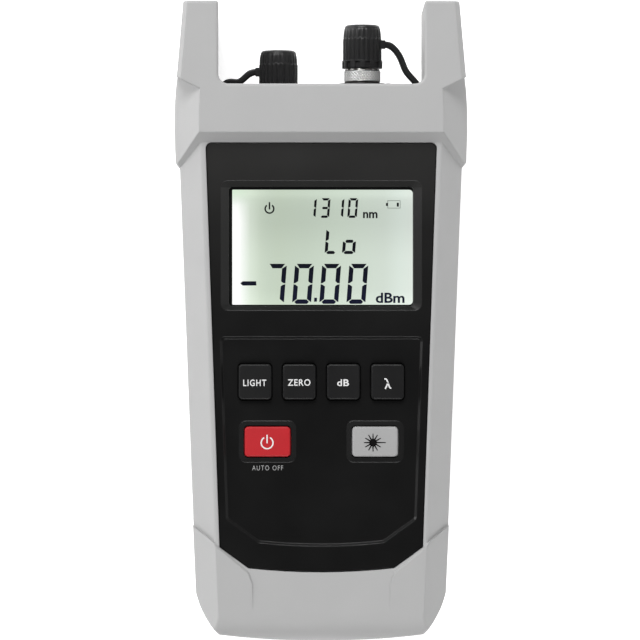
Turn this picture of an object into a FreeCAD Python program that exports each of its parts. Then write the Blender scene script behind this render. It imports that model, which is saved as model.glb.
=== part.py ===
"""Handheld optical power meter with a visible-laser fault-finder port.

A black two-part case holds a backlit display, a six-key silicone keypad, the circuit board, three
AA cells, a fibre detector socket and a laser socket.  A light grey soft boot wraps the case, leaves a
window for the front panel and another for the back, and rises into two horns that guard the sockets.
Each socket wears a ribbed dust cap on a moulded tether.

Frame: the meter lies on its back.  X runs across it, Y runs along it towards the horns, Z points out of
the display.  The origin is on the rest plane, under the middle of the outline.  Millimetres.
"""

import FreeCAD
import Part
import math
import os

V = FreeCAD.Vector
AXIS_X = V(1, 0, 0)
AXIS_Y = V(0, 1, 0)
AXIS_Z = V(0, 0, 1)
FAR = 200.0  # reach of cutting blocks, beyond any face of the meter

# ---------------------------------------------------------------- overall form
overall_length = 189.5
length_below_datum = 95.15  # the datum for every Y below lies between the display and the keys
end_y = -length_below_datum  # lowest point of the bowed bottom end
horn_top_y = overall_length - length_below_datum
mid_half_width = 40.2  # half width of the body at Y = 0
side_taper = 0.0381  # gain of half width per millimetre of Y
back_z = 1.2  # back of the boot between its feet
rim_z = 44.0  # front of the boot round the panel
bevel_width = 6.5  # long bevel along each side, seen from the front
bevel_depth = 7.25  # the same bevel, seen from the side
end_bow = 2.1  # how far the bottom end bows out
end_half_width = 30.3
end_corner_width = 6.8  # curved corner between the bottom end and a side
end_corner_length = 12.1
end_corner_bulge = 0.95
end_side_run = 10.0  # the plan of the end runs on past the sides by this
end_side_slope = 1.6  # and rises faster there than the corner's chord, by this factor
end_round = 9.0  # rounding of the bottom end, seen from the side
end_round_lead = 0.3  # the rounding starts this far outside the bow

# ---------------------------------------------------------------- boot
boot_wall = 2.4
boot_fit = 0.1  # the boot clears the case by this
bumper_front_z = 46.95
bumper_low_y = 45.4  # where the top bumper starts on the sides
bumper_mitre_y = 55.6  # where it starts on its front face
bumper_foot_half_width = 43.2
bumper_half_width = 43.5
bumper_bevel = 7.4
bumper_bevel_depth = 9.8
shoulder_y = 68.5  # above this the front face widens out to the horn's narrow bevel
shoulder_half_width = 43.15
shoulder_rise = 3.7  # of that step, from its inner to its outer end
horn_foot_y = 73.3
horn_foot_half_width = 42.55
shoulder_lean = -0.05  # the step leans outwards by this share of its depth
horn_tip_half_width = 40.75
horn_bevel = 1.3
horn_inner_x = 30.4  # at the front face
horn_back_inner_x = 31.3  # at the back face
horn_root_radius = 3.0
horn_edge = 0.8
body_edge = 1.0
wall_top_y = 69.9  # top of the wall in front of the sockets
pocket_front_z = 40.5
pocket_back_z = 5.5
pocket_radius = 3.0
pad_top_y = -53.2  # corner pads of the bottom bumper start here on the sides
pad_rise = 1.5  # and stand this proud in front at their top
pad_side_rise = 0.15
pad_back_rise = 1.7
pad_inner_x = 20.3
pad_overrun = 10.0  # the pads' plan runs on past the sides by this

# ---------------------------------------------------------------- front panel
panel_z = 43.6
panel_mid_half_width = 32.17
panel_taper = 0.0346
panel_top_y = 52.4
panel_corner_radius = 1.6
panel_side_end_y = -66.9
panel_outer_x = 30.6
panel_low_half_width = 21.5
panel_low_y = -73.0
panel_bow = 1.2
panel_gap = 0.25  # slit between the boot's window and the panel
case_wall = 2.2
panel_wall = 2.4

# ---------------------------------------------------------------- display opening
bezel_half_width = 29.8
bezel_top_y = 41.4
bezel_low_y = 3.0
bezel_depth = 1.3
bezel_slope_side = 2.5
bezel_slope_top = 1.8
bezel_slope_low = 1.3
bezel_radius = 2.2

# ---------------------------------------------------------------- keypad
tray_depth = 0.7  # the keypad area is sunk into the panel
tray_top_y = -5.1
tray_margin = 2.3  # from the panel's side to the tray's side
tray_side_end_y = -58.6
tray_low_half_width = 18.4
tray_low_y = -65.4
tray_bow = 1.0
tray_radius = 1.2
tray_slope = 0.7  # how far the tray's side leans outwards
small_key_pitch = 13.05
small_key_y = -18.1
small_key_width = 9.7
small_key_length = 10.5
wide_key_x = 15.9
wide_key_y = -35.8
wide_key_width = 13.5
wide_key_length = 8.9
key_radius = 1.1
key_edge = 0.55  # rounding round a key's top
key_gap = 0.3  # slit round a key in its hole
small_key_top_z = 44.7
wide_key_top_z = 44.1
collar_land = 0.25  # flat crest of the collar round each wide key
collar_slope = 1.15  # width of the slope outside the crest
collar_height = 0.6
key_flange = 0.9  # flange that keeps a key under the panel
key_flange_thickness = 0.8
key_flange_gap = 0.1
key_foot_inset = 1.9  # from a key's side to the foot under it
key_travel = 1.0
key_stop_gap = 0.1  # what is left between pill and board at full travel
pill_radius = 2.2
pill_thickness = 0.5
mat_thickness = 1.2
mat_margin = 0.7  # hole in the mat round each key's foot

# ---------------------------------------------------------------- case and board
deck_y = 63.0  # outer face of the case's top wall
port_z = 24.0  # height of both socket axes, and of the case's parting plane
port_x = 12.6
board_top_z = 34.5
board_thickness = 1.6
board_half_width = 31.0
board_top_y = 56.0
board_low_y = -71.0
upper_screw = (26.0, 48.0)
lower_screw = (22.0, -66.4)
boss_radius = 3.4
pillar_radius = 4.0
screw_radius = 1.5
screw_head_radius = 2.7
screw_head_height = 2.0
screw_ledge_z = 10.0
screw_length = 20.0
screw_hole_gap = 0.2
boss_hole_gap = 0.4
board_posts = ((28.0, -4.5), (27.0, -57.0))
post_radius = 2.1
board_screw_radius = 1.0
board_screw_head_radius = 1.9
board_screw_head_height = 1.3
board_screw_length = 7.0
board_corner_radius = 1.5
chip_layout = (  # x, y, width, length, height
    (-4.0, 12.0, 12.0, 12.0, 1.5),
    (13.0, 16.0, 5.0, 6.2, 1.6),
    (13.0, 27.0, 5.0, 6.2, 1.6),
    (-18.0, 26.0, 7.0, 7.0, 3.2),
)

# ---------------------------------------------------------------- display stack
glass_width = 59.0
glass_length = 38.5
glass_thickness = 2.2
light_thickness = 2.4
zebra_width = 2.2
zebra_length = 54.0
gasket_thickness = 0.55
gasket_band = 1.3
lens_thickness = 1.5
lens_margin = 1.2  # the lens laps the panel's opening by this
frame_wall = 1.2
stack_gap = 0.1

# ---------------------------------------------------------------- battery bay
cell_radius = 7.25
cell_length = 50.5
cell_nub_radius = 2.7
cell_nub_height = 1.3
cell_pitch = 15.2
cell_gap = 0.35
bay_low_y = -57.0
bay_length = 56.0
bay_wall = 1.6
contact_thickness = 0.4
contact_width = 9.0
contact_foot_gap = 0.05
cover_half_width = 25.5
cover_low_y = -60.0
cover_top_y = 4.0
cover_thickness = 2.0
cover_gap = 0.3
cover_outer_z = 1.5  # outer face of the cover and of the back panel round it
cover_corner_radius = 1.5
cover_tab_width = 7.0
cover_tab_reach = 1.6
cover_tab_thickness = 0.9
cover_tab_x = 15.0
cover_grooves = 5
cover_groove_pitch = 2.2
cover_groove_length = 15.0
cover_groove_width = 0.9
cover_groove_depth = 0.5
contact_tab_width = 2.6
leaf_reach = 5.4  # of a contact's leaf, either side of the cell's axis

# ---------------------------------------------------------------- sockets and caps
spigot_radius = 4.0
flange_radius = 6.6
flange_thickness = 2.0
ferrule_radius = 1.25
ferrule_depth = 12.0
shoulder_height = 6.1  # of the laser socket, above the deck
coupler_rise = 2.1  # from that shoulder to the coupler
knurl_length = 4.3
coupler_radius = 5.35
cap_length = 13.0
cap_roof = 3.6
cap_rise = 5.0  # of the detector's cap, above the deck
cap_seat_gap = 0.2
spigot_room = 0.8  # between a spigot's end and the cap's roof
laser_shoulder_y = deck_y + shoulder_height
coupler_low_y = laser_shoulder_y + coupler_rise
coupler_knurl_top_y = coupler_low_y + knurl_length
detector_cap_low_y = deck_y + cap_rise
detector_spigot_top_y = detector_cap_low_y + cap_length - cap_roof - spigot_room
laser_cap_low_y = coupler_knurl_top_y + cap_seat_gap
coupler_spigot_top_y = laser_cap_low_y + cap_length - cap_roof - spigot_room
cap_top_radius = 5.3
cap_rib_radius = 5.8
cap_collar_radius = 6.05
cap_collar_length = 2.3
cap_rib_length = 6.3
cap_shoulder_length = 0.9
cap_top_edge = 1.0
cap_grip_gap = 0.05
cap_notches = 12
notch_width = 1.5
notch_floor = 0.4  # collar left above each notch
notch_depth = 0.4
cap_lug_reach = 6.9
cap_flutes = 24
flute_radius = 0.55
flute_depth = 0.32
ring_outer_radius = 7.3
ring_gap = 0.15
ring_thickness = 1.9
strap_width = 1.9  # seen from the front
strap_depth = 2.6
strap_edge = 0.5
strap_steps = 20
strap_end_gap = 0.18  # between the strap's slanting end and the lug
detector_lug_height = 6.6  # up each cap
laser_lug_height = 7.2
detector_lug_y = detector_cap_low_y + detector_lug_height
laser_lug_y = laser_cap_low_y + laser_lug_height
detector_strap_path = (  # from the socket's axis, from the deck
    (9.2, 3.0),
    (15.0, 4.0),
    (16.8, 6.6),
    (15.0, 8.6),
    (12.2, 8.6),
    (9.8, 10.2),
    (7.9, 11.5),
)
laser_strap_path = (
    (9.2, 7.0),
    (14.8, 4.6),
    (16.9, 6.2),
    (15.8, 8.8),
    (13.1, 12.0),
    (11.6, 15.6),
    (9.6, 18.6),
    (7.9, 19.8),
)
socket_nut_thickness = 2.6
socket_nut_flats = 12.4
case_hole_gap = 0.15
laser_tube_radius = 5.0
laser_tube_low_y = 30.0
laser_room = 18.0  # depth of the wide tube's open end
laser_nose_radius = 3.0
laser_nose_top_y = coupler_knurl_top_y + 4.5
laser_board_overhang = 9.0
diode_length = 8.0
sleeve_radius = 1.75
sleeve_length = 12.4
sleeve_low_y = laser_shoulder_y + 1.9
sleeve_top_y = sleeve_low_y + sleeve_length
light_path_radius = 1.5
spigot_bore_radius = 3.1
spigot_bore_depth = 6.0
key_notch = 2.1
socket_rear_length = 3.2
seat_gap = 0.06
can_radius = 2.35
can_length = 3.4
can_gap = 0.15  # between the can's window and the ferrule's tip
can_rim_radius = 2.7
can_rim_thickness = 0.6
leg_reach = 1.6
leg_radius = 0.3
leg_spread = 1.27

PARTS = {}


def keep(name, shape):
    """Files a finished node, moved so that the middle of the meter's length lies at Y = 0."""
    shape = shape.removeSplitter()
    shape.translate(V(0, length_below_datum - overall_length / 2, 0))
    PARTS[name] = shape


# ---------------------------------------------------------------- helpers
def block(x0, x1, y0, y1, z0, z1):
    return Part.makeBox(x1 - x0, y1 - y0, z1 - z0, V(x0, y0, z0))


def cylinder_y(radius, y0, y1, x=0.0, z=0.0):
    return Part.makeCylinder(radius, y1 - y0, V(x, y0, z), AXIS_Y)


def cylinder_z(radius, z0, z1, x, y):
    return Part.makeCylinder(radius, z1 - z0, V(x, y, z0), AXIS_Z)


def polygon(points):
    return Part.makePolygon(list(points) + [points[0]])


def prism_z(wire, z0, z1):
    """Solid between two heights over a wire that lies in the plane Z = 0."""
    base = Part.Face(wire)
    base.translate(V(0, 0, z0))
    return base.extrude(V(0, 0, z1 - z0))


def prism_x(points_yz, x0, x1):
    """Solid along X with a polygon section given as (y, z) pairs."""
    face = Part.Face(polygon([V(x0, y, z) for y, z in points_yz]))
    return face.extrude(V(x1 - x0, 0, 0))


def both_sides(shape):
    """The shape and its mirror image in the plane X = 0."""
    return [shape, shape.mirror(V(0, 0, 0), AXIS_X)]


def rounded_rectangle(x0, x1, y0, y1, radius):
    """Closed wire in the plane Z = 0."""
    plate = Part.Face(polygon([V(x0, y0, 0), V(x1, y0, 0), V(x1, y1, 0), V(x0, y1, 0)]))
    inner = plate.makeOffset2D(-radius)
    return inner.makeOffset2D(radius).OuterWire


def rounded_block(x0, x1, y0, y1, z0, z1, radius):
    return prism_z(rounded_rectangle(x0, x1, y0, y1, radius), z0, z1)


def edges_where(shape, test):
    """Edges whose middle point passes a test."""
    found = []
    for edge in shape.Edges:
        middle = edge.valueAt((edge.FirstParameter + edge.LastParameter) / 2)
        if test(middle):
            found.append(edge)
    return found


def half_width_at(y):
    return mid_half_width + side_taper * y


# ---------------------------------------------------------------- body forms
def bevelled_section(y, half_width, low_z, high_z, width, depth):
    """Corners of an octagon across the body at one Y, bevelled at its four long edges."""
    return [
        V(half_width - width, y, high_z),
        V(half_width, y, high_z - depth),
        V(half_width, y, low_z + depth),
        V(half_width - width, y, low_z),
        V(width - half_width, y, low_z),
        V(-half_width, y, low_z + depth),
        V(-half_width, y, high_z - depth),
        V(width - half_width, y, high_z),
    ]


def flat_sided(low, high):
    """Solid between two sections whose matching edges are parallel, so that every face is flat."""
    faces = [Part.Face(polygon(low)), Part.Face(polygon(high))]
    for i in range(len(low)):
        j = (i + 1) % len(low)
        faces.append(Part.Face(polygon([low[i], low[j], high[j], high[i]])))
    shell = Part.Shell(faces)
    shell.sewShape()
    solid = Part.Solid(shell)
    if solid.Volume < 0:
        solid.reverse()
    return solid


def end_outline(inset):
    """Plan of the bottom end: a bowed edge and two curved corners, with open sides."""
    corner_y = end_y + end_bow
    corner = V(end_half_width, corner_y, 0)
    shoulder = corner + V(end_corner_width, end_corner_length, 0)
    chord = (shoulder - corner).normalize()
    outward = V(chord.y, -chord.x, 0)
    bulge = (corner + shoulder) * 0.5 + outward * end_corner_bulge
    side_x = shoulder.x + end_side_run
    side_y = shoulder.y + end_side_run * chord.y / chord.x * end_side_slope

    def left(p):
        return V(-p.x, p.y, p.z)

    side = V(side_x, side_y, 0)
    top = V(side_x, FAR, 0)
    edges = [
        Part.Arc(left(corner), V(0, end_y, 0), corner).toShape(),
        Part.Arc(corner, bulge, shoulder).toShape(),
        Part.makeLine(shoulder, side),
        Part.makeLine(side, top),
        Part.makeLine(top, left(top)),
        Part.makeLine(left(top), left(side)),
        Part.makeLine(left(side), left(shoulder)),
        Part.Arc(left(shoulder), left(bulge), left(corner)).toShape(),
    ]
    wire = Part.Wire(edges)
    if inset:
        wire = Part.Face(wire).makeOffset2D(-inset).OuterWire
    return wire


def end_profile(inset, low_z, high_z):
    """Side view of the bottom end: both corners rounded, open at the top."""
    y0 = end_y + inset - end_round_lead
    r = end_round - inset
    k = r * (1 - math.cos(math.pi / 4))
    edges = [
        Part.Arc(V(0, y0 + r, low_z), V(0, y0 + k, low_z + k), V(0, y0, low_z + r)).toShape(),
        Part.makeLine(V(0, y0, low_z + r), V(0, y0, high_z - r)),
        Part.Arc(V(0, y0, high_z - r), V(0, y0 + k, high_z - k), V(0, y0 + r, high_z)).toShape(),
        Part.makeLine(V(0, y0 + r, high_z), V(0, FAR, high_z)),
        Part.makeLine(V(0, FAR, high_z), V(0, FAR, low_z)),
        Part.makeLine(V(0, FAR, low_z), V(0, y0 + r, low_z)),
    ]
    face = Part.Face(Part.Wire(edges))
    face.translate(V(-FAR / 2, 0, 0))
    return face.extrude(V(FAR, 0, 0))


def body_form(inset, top_y):
    """The body's main form with every wall moved inwards by the inset."""
    slant = math.hypot(bevel_width, bevel_depth)
    width = bevel_width - inset - inset * (bevel_width - slant) / bevel_depth
    depth = bevel_depth - inset - inset * (bevel_depth - slant) / bevel_width
    low_z = back_z + inset
    high_z = rim_z - inset
    sections = [
        bevelled_section(y, half_width_at(y) - inset, low_z, high_z, width, depth)
        for y in (end_y - 5, top_y)
    ]
    form = flat_sided(*sections)
    form = form.common(prism_z(end_outline(inset), low_z - 1, high_z + 1))
    return form.common(end_profile(inset, low_z, high_z))


# ---------------------------------------------------------------- boot
def chain_of_sections(steps, width, depth):
    """Bevelled bar through a row of (Y, half width) steps."""
    spans = []
    for low, high in zip(steps, steps[1:]):
        pair = [bevelled_section(y, half, 0.0, bumper_front_z, width, depth) for y, half in (low, high)]
        spans.append(flat_sided(*pair))
    return spans


def bumper_form():
    """Top bumper and horns, before the space between the horns is cut."""
    widest_y = (bumper_mitre_y + shoulder_y) / 2
    bar = [
        (bumper_low_y, half_width_at(bumper_low_y)),
        (bumper_low_y + 1.5, bumper_foot_half_width),
        (bumper_mitre_y, bumper_half_width),
        (widest_y, bumper_half_width),
        (shoulder_y, shoulder_half_width),
        (horn_foot_y, horn_foot_half_width),
    ]
    horns = [
        (shoulder_y, shoulder_half_width),
        (horn_foot_y, horn_foot_half_width),
        (horn_top_y, horn_tip_half_width),
    ]
    inner_x = bumper_half_width - bumper_bevel
    outer_x = bumper_half_width
    step_plan = [
        (-FAR, shoulder_y + shoulder_rise * (FAR - inner_x) / (outer_x - inner_x)),
        (-inner_x, shoulder_y),
        (inner_x, shoulder_y),
        (FAR, shoulder_y + shoulder_rise * (FAR - inner_x) / (outer_x - inner_x)),
        (FAR, 2 * FAR),
        (-FAR, 2 * FAR),
    ]
    spans = chain_of_sections(bar, bumper_bevel, bumper_bevel_depth)
    middle_z = bumper_front_z / 2
    levels = []
    for z in (-1.0, middle_z, bumper_front_z + 1):
        drop = shoulder_lean * (middle_z - abs(z - middle_z))
        levels.append([V(x, y - drop, z) for x, y in step_plan])
    above_step = flat_sided(levels[0], levels[1]).fuse(flat_sided(levels[1], levels[2]))
    for span in chain_of_sections(horns, horn_bevel, horn_bevel):
        spans.append(span.common(above_step))
    form = spans[0].fuse(spans[1:]).removeSplitter()
    mitre = [
        (bumper_mitre_y, bumper_front_z),
        (bumper_mitre_y - middle_z, middle_z),
        (bumper_mitre_y, 0.0),
        (FAR, 0.0),
        (FAR, bumper_front_z),
    ]
    return form.common(prism_x(mitre, -FAR / 2, FAR / 2))


def gap_half_width(z):
    """Half of the space between the horns, which is wider at the back than in front."""
    return horn_back_inner_x + (horn_inner_x - horn_back_inner_x) * z / bumper_front_z


def drafted_room(low_y, low_z, high_z):
    """Room between the horns, upwards from one level and between two heights."""
    corners = [(gap_half_width(z), z) for z in (low_z, high_z)]
    section = corners + [(-x, z) for x, z in reversed(corners)]
    face = Part.Face(polygon([V(x, low_y, z) for x, z in section]))
    return face.extrude(V(0, FAR, 0))


def horn_gap():
    """Space between the horns, right through, with rounded roots."""
    gap = drafted_room(wall_top_y, -1.0, bumper_front_z + 1)
    roots = edges_where(gap, lambda p: abs(p.y - wall_top_y) < 0.01 and abs(p.x) > horn_root_radius)
    return gap.makeFillet(horn_root_radius, roots)


def socket_pocket():
    """Well behind the front wall, where the sockets stand."""
    well = drafted_room(deck_y, pocket_back_z, pocket_front_z)
    long_edges = edges_where(well, lambda p: abs(p.y - (deck_y + FAR / 2)) < 1)
    return well.makeFillet(pocket_radius, long_edges)


def make_bumper():
    """Bumper with the space between its horns cut out and that space's rims rounded."""
    bumper = bumper_form().cut([horn_gap(), socket_pocket()])
    rims = []
    for edge in bumper.Edges:
        middle = edge.valueAt((edge.FirstParameter + edge.LastParameter) / 2)
        on_face = min(abs(middle.z), abs(middle.z - bumper_front_z)) < 0.01
        in_gap = middle.y > wall_top_y - 0.01 and abs(middle.x) < gap_half_width(middle.z) + 0.01
        if (on_face and in_gap) or abs(middle.y - horn_top_y) < 0.01:
            rims.append(edge)
    return bumper.makeFillet(horn_edge, rims)


def corner_pads():
    """The bottom bumper's two corner pads, proud all round and fading out towards the bottom end."""
    fade_y = end_y + end_round
    sections = []
    for y in (pad_top_y, end_y):
        share = (y - fade_y) / (pad_top_y - fade_y)
        section = bevelled_section(
            y,
            half_width_at(y) + share * pad_side_rise,
            back_z - share * pad_back_rise,
            rim_z + share * pad_rise,
            bevel_width,
            bevel_depth,
        )
        sections.append(section)
    form = flat_sided(*sections)
    outer_x = half_width_at(0) + pad_overrun
    foot = [
        (outer_x, pad_top_y + 1.0),
        (panel_outer_x, panel_side_end_y + 0.6),
        (panel_low_half_width, panel_low_y - 1.3),
        (pad_inner_x, panel_low_y - 5),
        (pad_inner_x, fade_y),
        (outer_x, fade_y),
    ]
    crest = [(x, y - pad_rise) for x, y in foot[:3]] + foot[3:]
    levels = [
        polygon([V(x, y, rim_z) for x, y in foot]),
        polygon([V(x, y, rim_z + pad_rise) for x, y in crest]),
    ]
    slab = prism_z(polygon([V(x, y, 0) for x, y in foot]), 0, rim_z)
    slab = slab.fuse(Part.makeLoft(levels, True, True))
    corner = prism_z(end_outline(0), 0, rim_z + pad_rise)
    return both_sides(form.common(slab).common(corner))


def panel_outline(gap=0.0):
    """Plan of the front panel: tapering sides, cut lower corners and a bowed lower edge."""

    def half_width(y):
        return panel_mid_half_width + panel_taper * y

    side_top = V(half_width(panel_top_y), panel_top_y, 0)
    side_end = V(half_width(panel_side_end_y), panel_side_end_y, 0)
    low = V(panel_low_half_width, panel_low_y, 0)

    def left(p):
        return V(-p.x, p.y, p.z)

    r = panel_corner_radius
    top_in = V(side_top.x - r, panel_top_y, 0)
    top_down = V(half_width(panel_top_y - r), panel_top_y - r, 0)
    k = r * (1 - math.cos(math.pi / 4))
    top_mid = V(side_top.x - k, panel_top_y - k, 0)
    edges = [
        Part.makeLine(left(top_in), top_in),
        Part.Arc(top_in, top_mid, top_down).toShape(),
        Part.makeLine(top_down, side_end),
        Part.makeLine(side_end, low),
        Part.Arc(low, V(0, panel_low_y - panel_bow, 0), left(low)).toShape(),
        Part.makeLine(left(low), left(side_end)),
        Part.makeLine(left(side_end), left(top_down)),
        Part.Arc(left(top_down), left(top_mid), left(top_in)).toShape(),
    ]
    wire = Part.Wire(edges)
    if gap:
        wire = Part.Face(wire).makeOffset2D(gap, 2).OuterWire
    return wire


def make_boot():
    """Soft boot: body, bumper and pads in one moulding, hollowed for the case and open over its panels."""
    body = body_form(0, deck_y - 1)
    creases = edges_where(body, lambda p: p.y < deck_y - 1.1)
    body = body.makeFillet(body_edge, creases)
    outer = body.fuse([make_bumper()] + corner_pads())
    cavity = body_form(boot_wall - boot_fit, deck_y + boot_fit)
    window = prism_z(panel_outline(panel_gap), back_z - 2, bumper_front_z + 5)
    return outer.cut([cavity, window])


# ---------------------------------------------------------------- case
def shell_half(inset, low_z, high_z, top_y):
    """Part of the body form between two heights."""
    slab = block(-FAR / 2, FAR / 2, -FAR / 2, FAR / 2, low_z, high_z)
    return body_form(inset, top_y).common(slab)


def socket_hole(x, radius):
    return cylinder_y(radius + case_hole_gap, deck_y - case_wall - 1, deck_y + 1, x, port_z)


def tray_outline(grow=0.0):
    """Plan of the sunk keypad area, parallel to the panel's sides, grown on every side."""

    def half_width(y):
        return panel_mid_half_width + panel_taper * y - tray_margin

    top = V(half_width(tray_top_y), tray_top_y, 0)
    side_end = V(half_width(tray_side_end_y), tray_side_end_y, 0)
    low = V(tray_low_half_width, tray_low_y, 0)

    def left(p):
        return V(-p.x, p.y, p.z)

    edges = [
        Part.makeLine(left(top), top),
        Part.makeLine(top, side_end),
        Part.makeLine(side_end, low),
        Part.Arc(low, V(0, tray_low_y - tray_bow, 0), left(low)).toShape(),
        Part.makeLine(left(low), left(side_end)),
        Part.makeLine(left(side_end), left(top)),
    ]
    plate = Part.Face(Part.Wire(edges))
    return plate.makeOffset2D(-tray_radius).makeOffset2D(tray_radius + grow).OuterWire


def keypad_tray():
    """Room sunk into the panel for the keys, with leaning sides."""
    rim = tray_outline(tray_slope / 2)
    floor = tray_outline(-tray_slope / 2)
    rim.translate(V(0, 0, panel_z))
    floor.translate(V(0, 0, panel_z - tray_depth))
    return Part.makeLoft([floor, rim], True, True)


def display_opening():
    """Opening over the display, with four sloping faces round it."""
    outer = rounded_rectangle(-bezel_half_width, bezel_half_width, bezel_low_y, bezel_top_y, bezel_radius)
    inner = rounded_rectangle(
        bezel_slope_side - bezel_half_width,
        bezel_half_width - bezel_slope_side,
        bezel_low_y + bezel_slope_low,
        bezel_top_y - bezel_slope_top,
        bezel_radius / 2,
    )
    through = prism_z(inner, panel_z - panel_wall - 1, panel_z - bezel_depth)
    outer.translate(V(0, 0, panel_z))
    inner.translate(V(0, 0, panel_z - bezel_depth))
    return Part.makeLoft([outer, inner], True, True).fuse(through)


def key_plan(key, grow=0.0):
    """Rounded rectangle of one key, optionally grown on every side."""
    x, y, width, length = key["x"], key["y"], key["width"], key["length"]
    radius = max(0.3, key_radius + min(grow, 1.0))
    return rounded_rectangle(
        x - width / 2 - grow, x + width / 2 + grow, y - length / 2 - grow, y + length / 2 + grow, radius
    )


def key_collar(key):
    """Raised collar with a sloping outside round one of the wide keys."""
    tray_z = panel_z - tray_depth
    root = key_plan(key, key_gap + collar_land + collar_slope)
    foot = root.copy()
    crest = key_plan(key, key_gap + collar_land)
    root.translate(V(0, 0, tray_z - panel_wall / 4))
    foot.translate(V(0, 0, tray_z))
    crest.translate(V(0, 0, tray_z + collar_height))
    return Part.makeLoft([root, foot, crest], True, True)


def make_front_case(keys):
    """Upper half of the case with the panel, bosses for the screws and posts for the board."""
    under_z = panel_z - panel_wall
    shell = shell_half(boot_wall, port_z, rim_z, deck_y)
    room = shell_half(boot_wall + case_wall, port_z - 1, rim_z, deck_y - case_wall)
    panel_room = prism_z(panel_outline(-case_wall), port_z, under_z)
    panel = prism_z(panel_outline(), under_z, panel_z)
    case = shell.fuse(panel).cut([room, panel_room])
    bosses = []
    holes = []
    for screw_x, screw_y in (upper_screw, lower_screw):
        for x in (-screw_x, screw_x):
            bosses.append(cylinder_z(boss_radius, port_z, under_z + 0.2, x, screw_y))
            holes.append(
                cylinder_z(
                    screw_radius + 0.05, port_z - 1, screw_ledge_z + screw_length + 0.5, x, screw_y
                )
            )
    for post_x, post_y in board_posts:
        for x in (-post_x, post_x):
            bosses.append(cylinder_z(post_radius, board_top_z, under_z + 0.2, x, post_y))
            holes.append(
                cylinder_z(
                    board_screw_radius + 0.05,
                    board_top_z - 1,
                    board_top_z - board_thickness + board_screw_length + 0.3,
                    x,
                    post_y,
                )
            )
    case = case.fuse(bosses)
    case = case.cut(keypad_tray())
    case = case.fuse([key_collar(key) for key in keys.values() if key["collar"]])
    cuts = holes + [display_opening()]
    cuts += [socket_hole(-port_x, spigot_radius), socket_hole(port_x, spigot_radius)]
    for key in keys.values():
        cuts.append(prism_z(key_plan(key, key_gap), under_z - 1, panel_z + 1))
    return case.cut(cuts)


def make_rear_case():
    """Lower half of the case with the battery bay and the screw pillars."""
    shell = shell_half(boot_wall, back_z, port_z, deck_y)
    room = shell_half(boot_wall + case_wall, back_z, port_z + 1, deck_y - case_wall)
    inner_z = back_z + boot_wall + case_wall
    plate = prism_z(panel_outline(), cover_outer_z, inner_z)
    case = shell.cut(room).fuse(plate)
    bay_x = 1.5 * cell_pitch + 0.7
    bay_top_y = bay_low_y + bay_length
    bay_low_z = cover_outer_z + cover_thickness
    bay_top_z = bay_low_z + 2 * (cell_radius + cell_gap + 0.1)
    box = block(
        -bay_x - bay_wall,
        bay_x + bay_wall,
        bay_low_y - bay_wall,
        bay_top_y + bay_wall,
        bay_low_z,
        bay_top_z + bay_wall,
    )
    pillars = []
    holes = []
    for screw_x, screw_y in (upper_screw, lower_screw):
        for x in (-screw_x, screw_x):
            pillars.append(cylinder_z(pillar_radius, bay_low_z, port_z, x, screw_y))
            holes.append(cylinder_z(screw_head_radius + screw_hole_gap, 0, screw_ledge_z, x, screw_y))
            holes.append(cylinder_z(screw_radius + screw_hole_gap, 0, port_z + 1, x, screw_y))
    case = case.fuse([box] + pillars)
    cuts = holes + [block(-bay_x, bay_x, bay_low_y, bay_top_y, 0, bay_top_z)]
    cuts.append(prism_z(cover_plan(cover_gap), 0, bay_low_z))
    cuts += [socket_hole(-port_x, spigot_radius), socket_hole(port_x, spigot_radius)]
    for x in (-cover_tab_x, cover_tab_x):
        half = cover_tab_width / 2 + 0.4
        slot_y = cover_low_y - cover_tab_reach - 0.4
        cuts.append(block(x - half, x + half, slot_y, bay_low_y + 1, 0.5 + cover_outer_z, tab_slot_top()))
    for end in contact_layout():
        for x, width, tab_x in end["plates"]:
            tab_half = contact_tab_width / 2 + 0.3
            y0 = end["wall_y"] - end["inward"] * 0.3
            y1 = end["wall_y"] + end["inward"] * (contact_thickness + 0.5)
            if tab_x is not None:
                cuts.append(
                    block(
                        tab_x - tab_half,
                        tab_x + tab_half,
                        min(y0, y1),
                        max(y0, y1),
                        bay_top_z - 0.5,
                        bay_top_z + bay_wall + 1,
                    )
                )
    return case.cut(cuts)


def tab_slot_top():
    """Ceiling of the cover-tab slots: the tab's far corner swings up to here."""
    corner = math.hypot(cover_tab_reach, cover_thickness + cover_tab_thickness)
    return cover_outer_z + corner + 0.2


# ---------------------------------------------------------------- battery
def cover_plan(grow=0.0):
    return rounded_rectangle(
        -cover_half_width - grow,
        cover_half_width + grow,
        cover_low_y - grow,
        cover_top_y + grow,
        cover_corner_radius + grow,
    )


def make_battery_cover():
    """Flat cover with two tabs at the hinge end and grip grooves at the other."""
    inner_z = cover_outer_z + cover_thickness
    cover = prism_z(cover_plan(), cover_outer_z, inner_z)
    for x in (-cover_tab_x, cover_tab_x):
        half = cover_tab_width / 2
        tab = block(
            x - half,
            x + half,
            cover_low_y - cover_tab_reach,
            cover_low_y + cover_tab_reach,
            inner_z,
            inner_z + cover_tab_thickness,
        )
        cover = cover.fuse(tab)
    grooves = []
    for i in range(cover_grooves):
        y = cover_top_y - 5.0 - i * cover_groove_pitch
        half = cover_groove_length / 2 - i * 0.8
        grooves.append(block(-half, half, y, y + cover_groove_width, 0, cover_outer_z + cover_groove_depth))
    return cover.cut(grooves)


def cell_z():
    return cover_outer_z + cover_thickness + cell_radius + cell_gap + 0.1


def cell_x(index):
    return (index - 1) * cell_pitch


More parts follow.
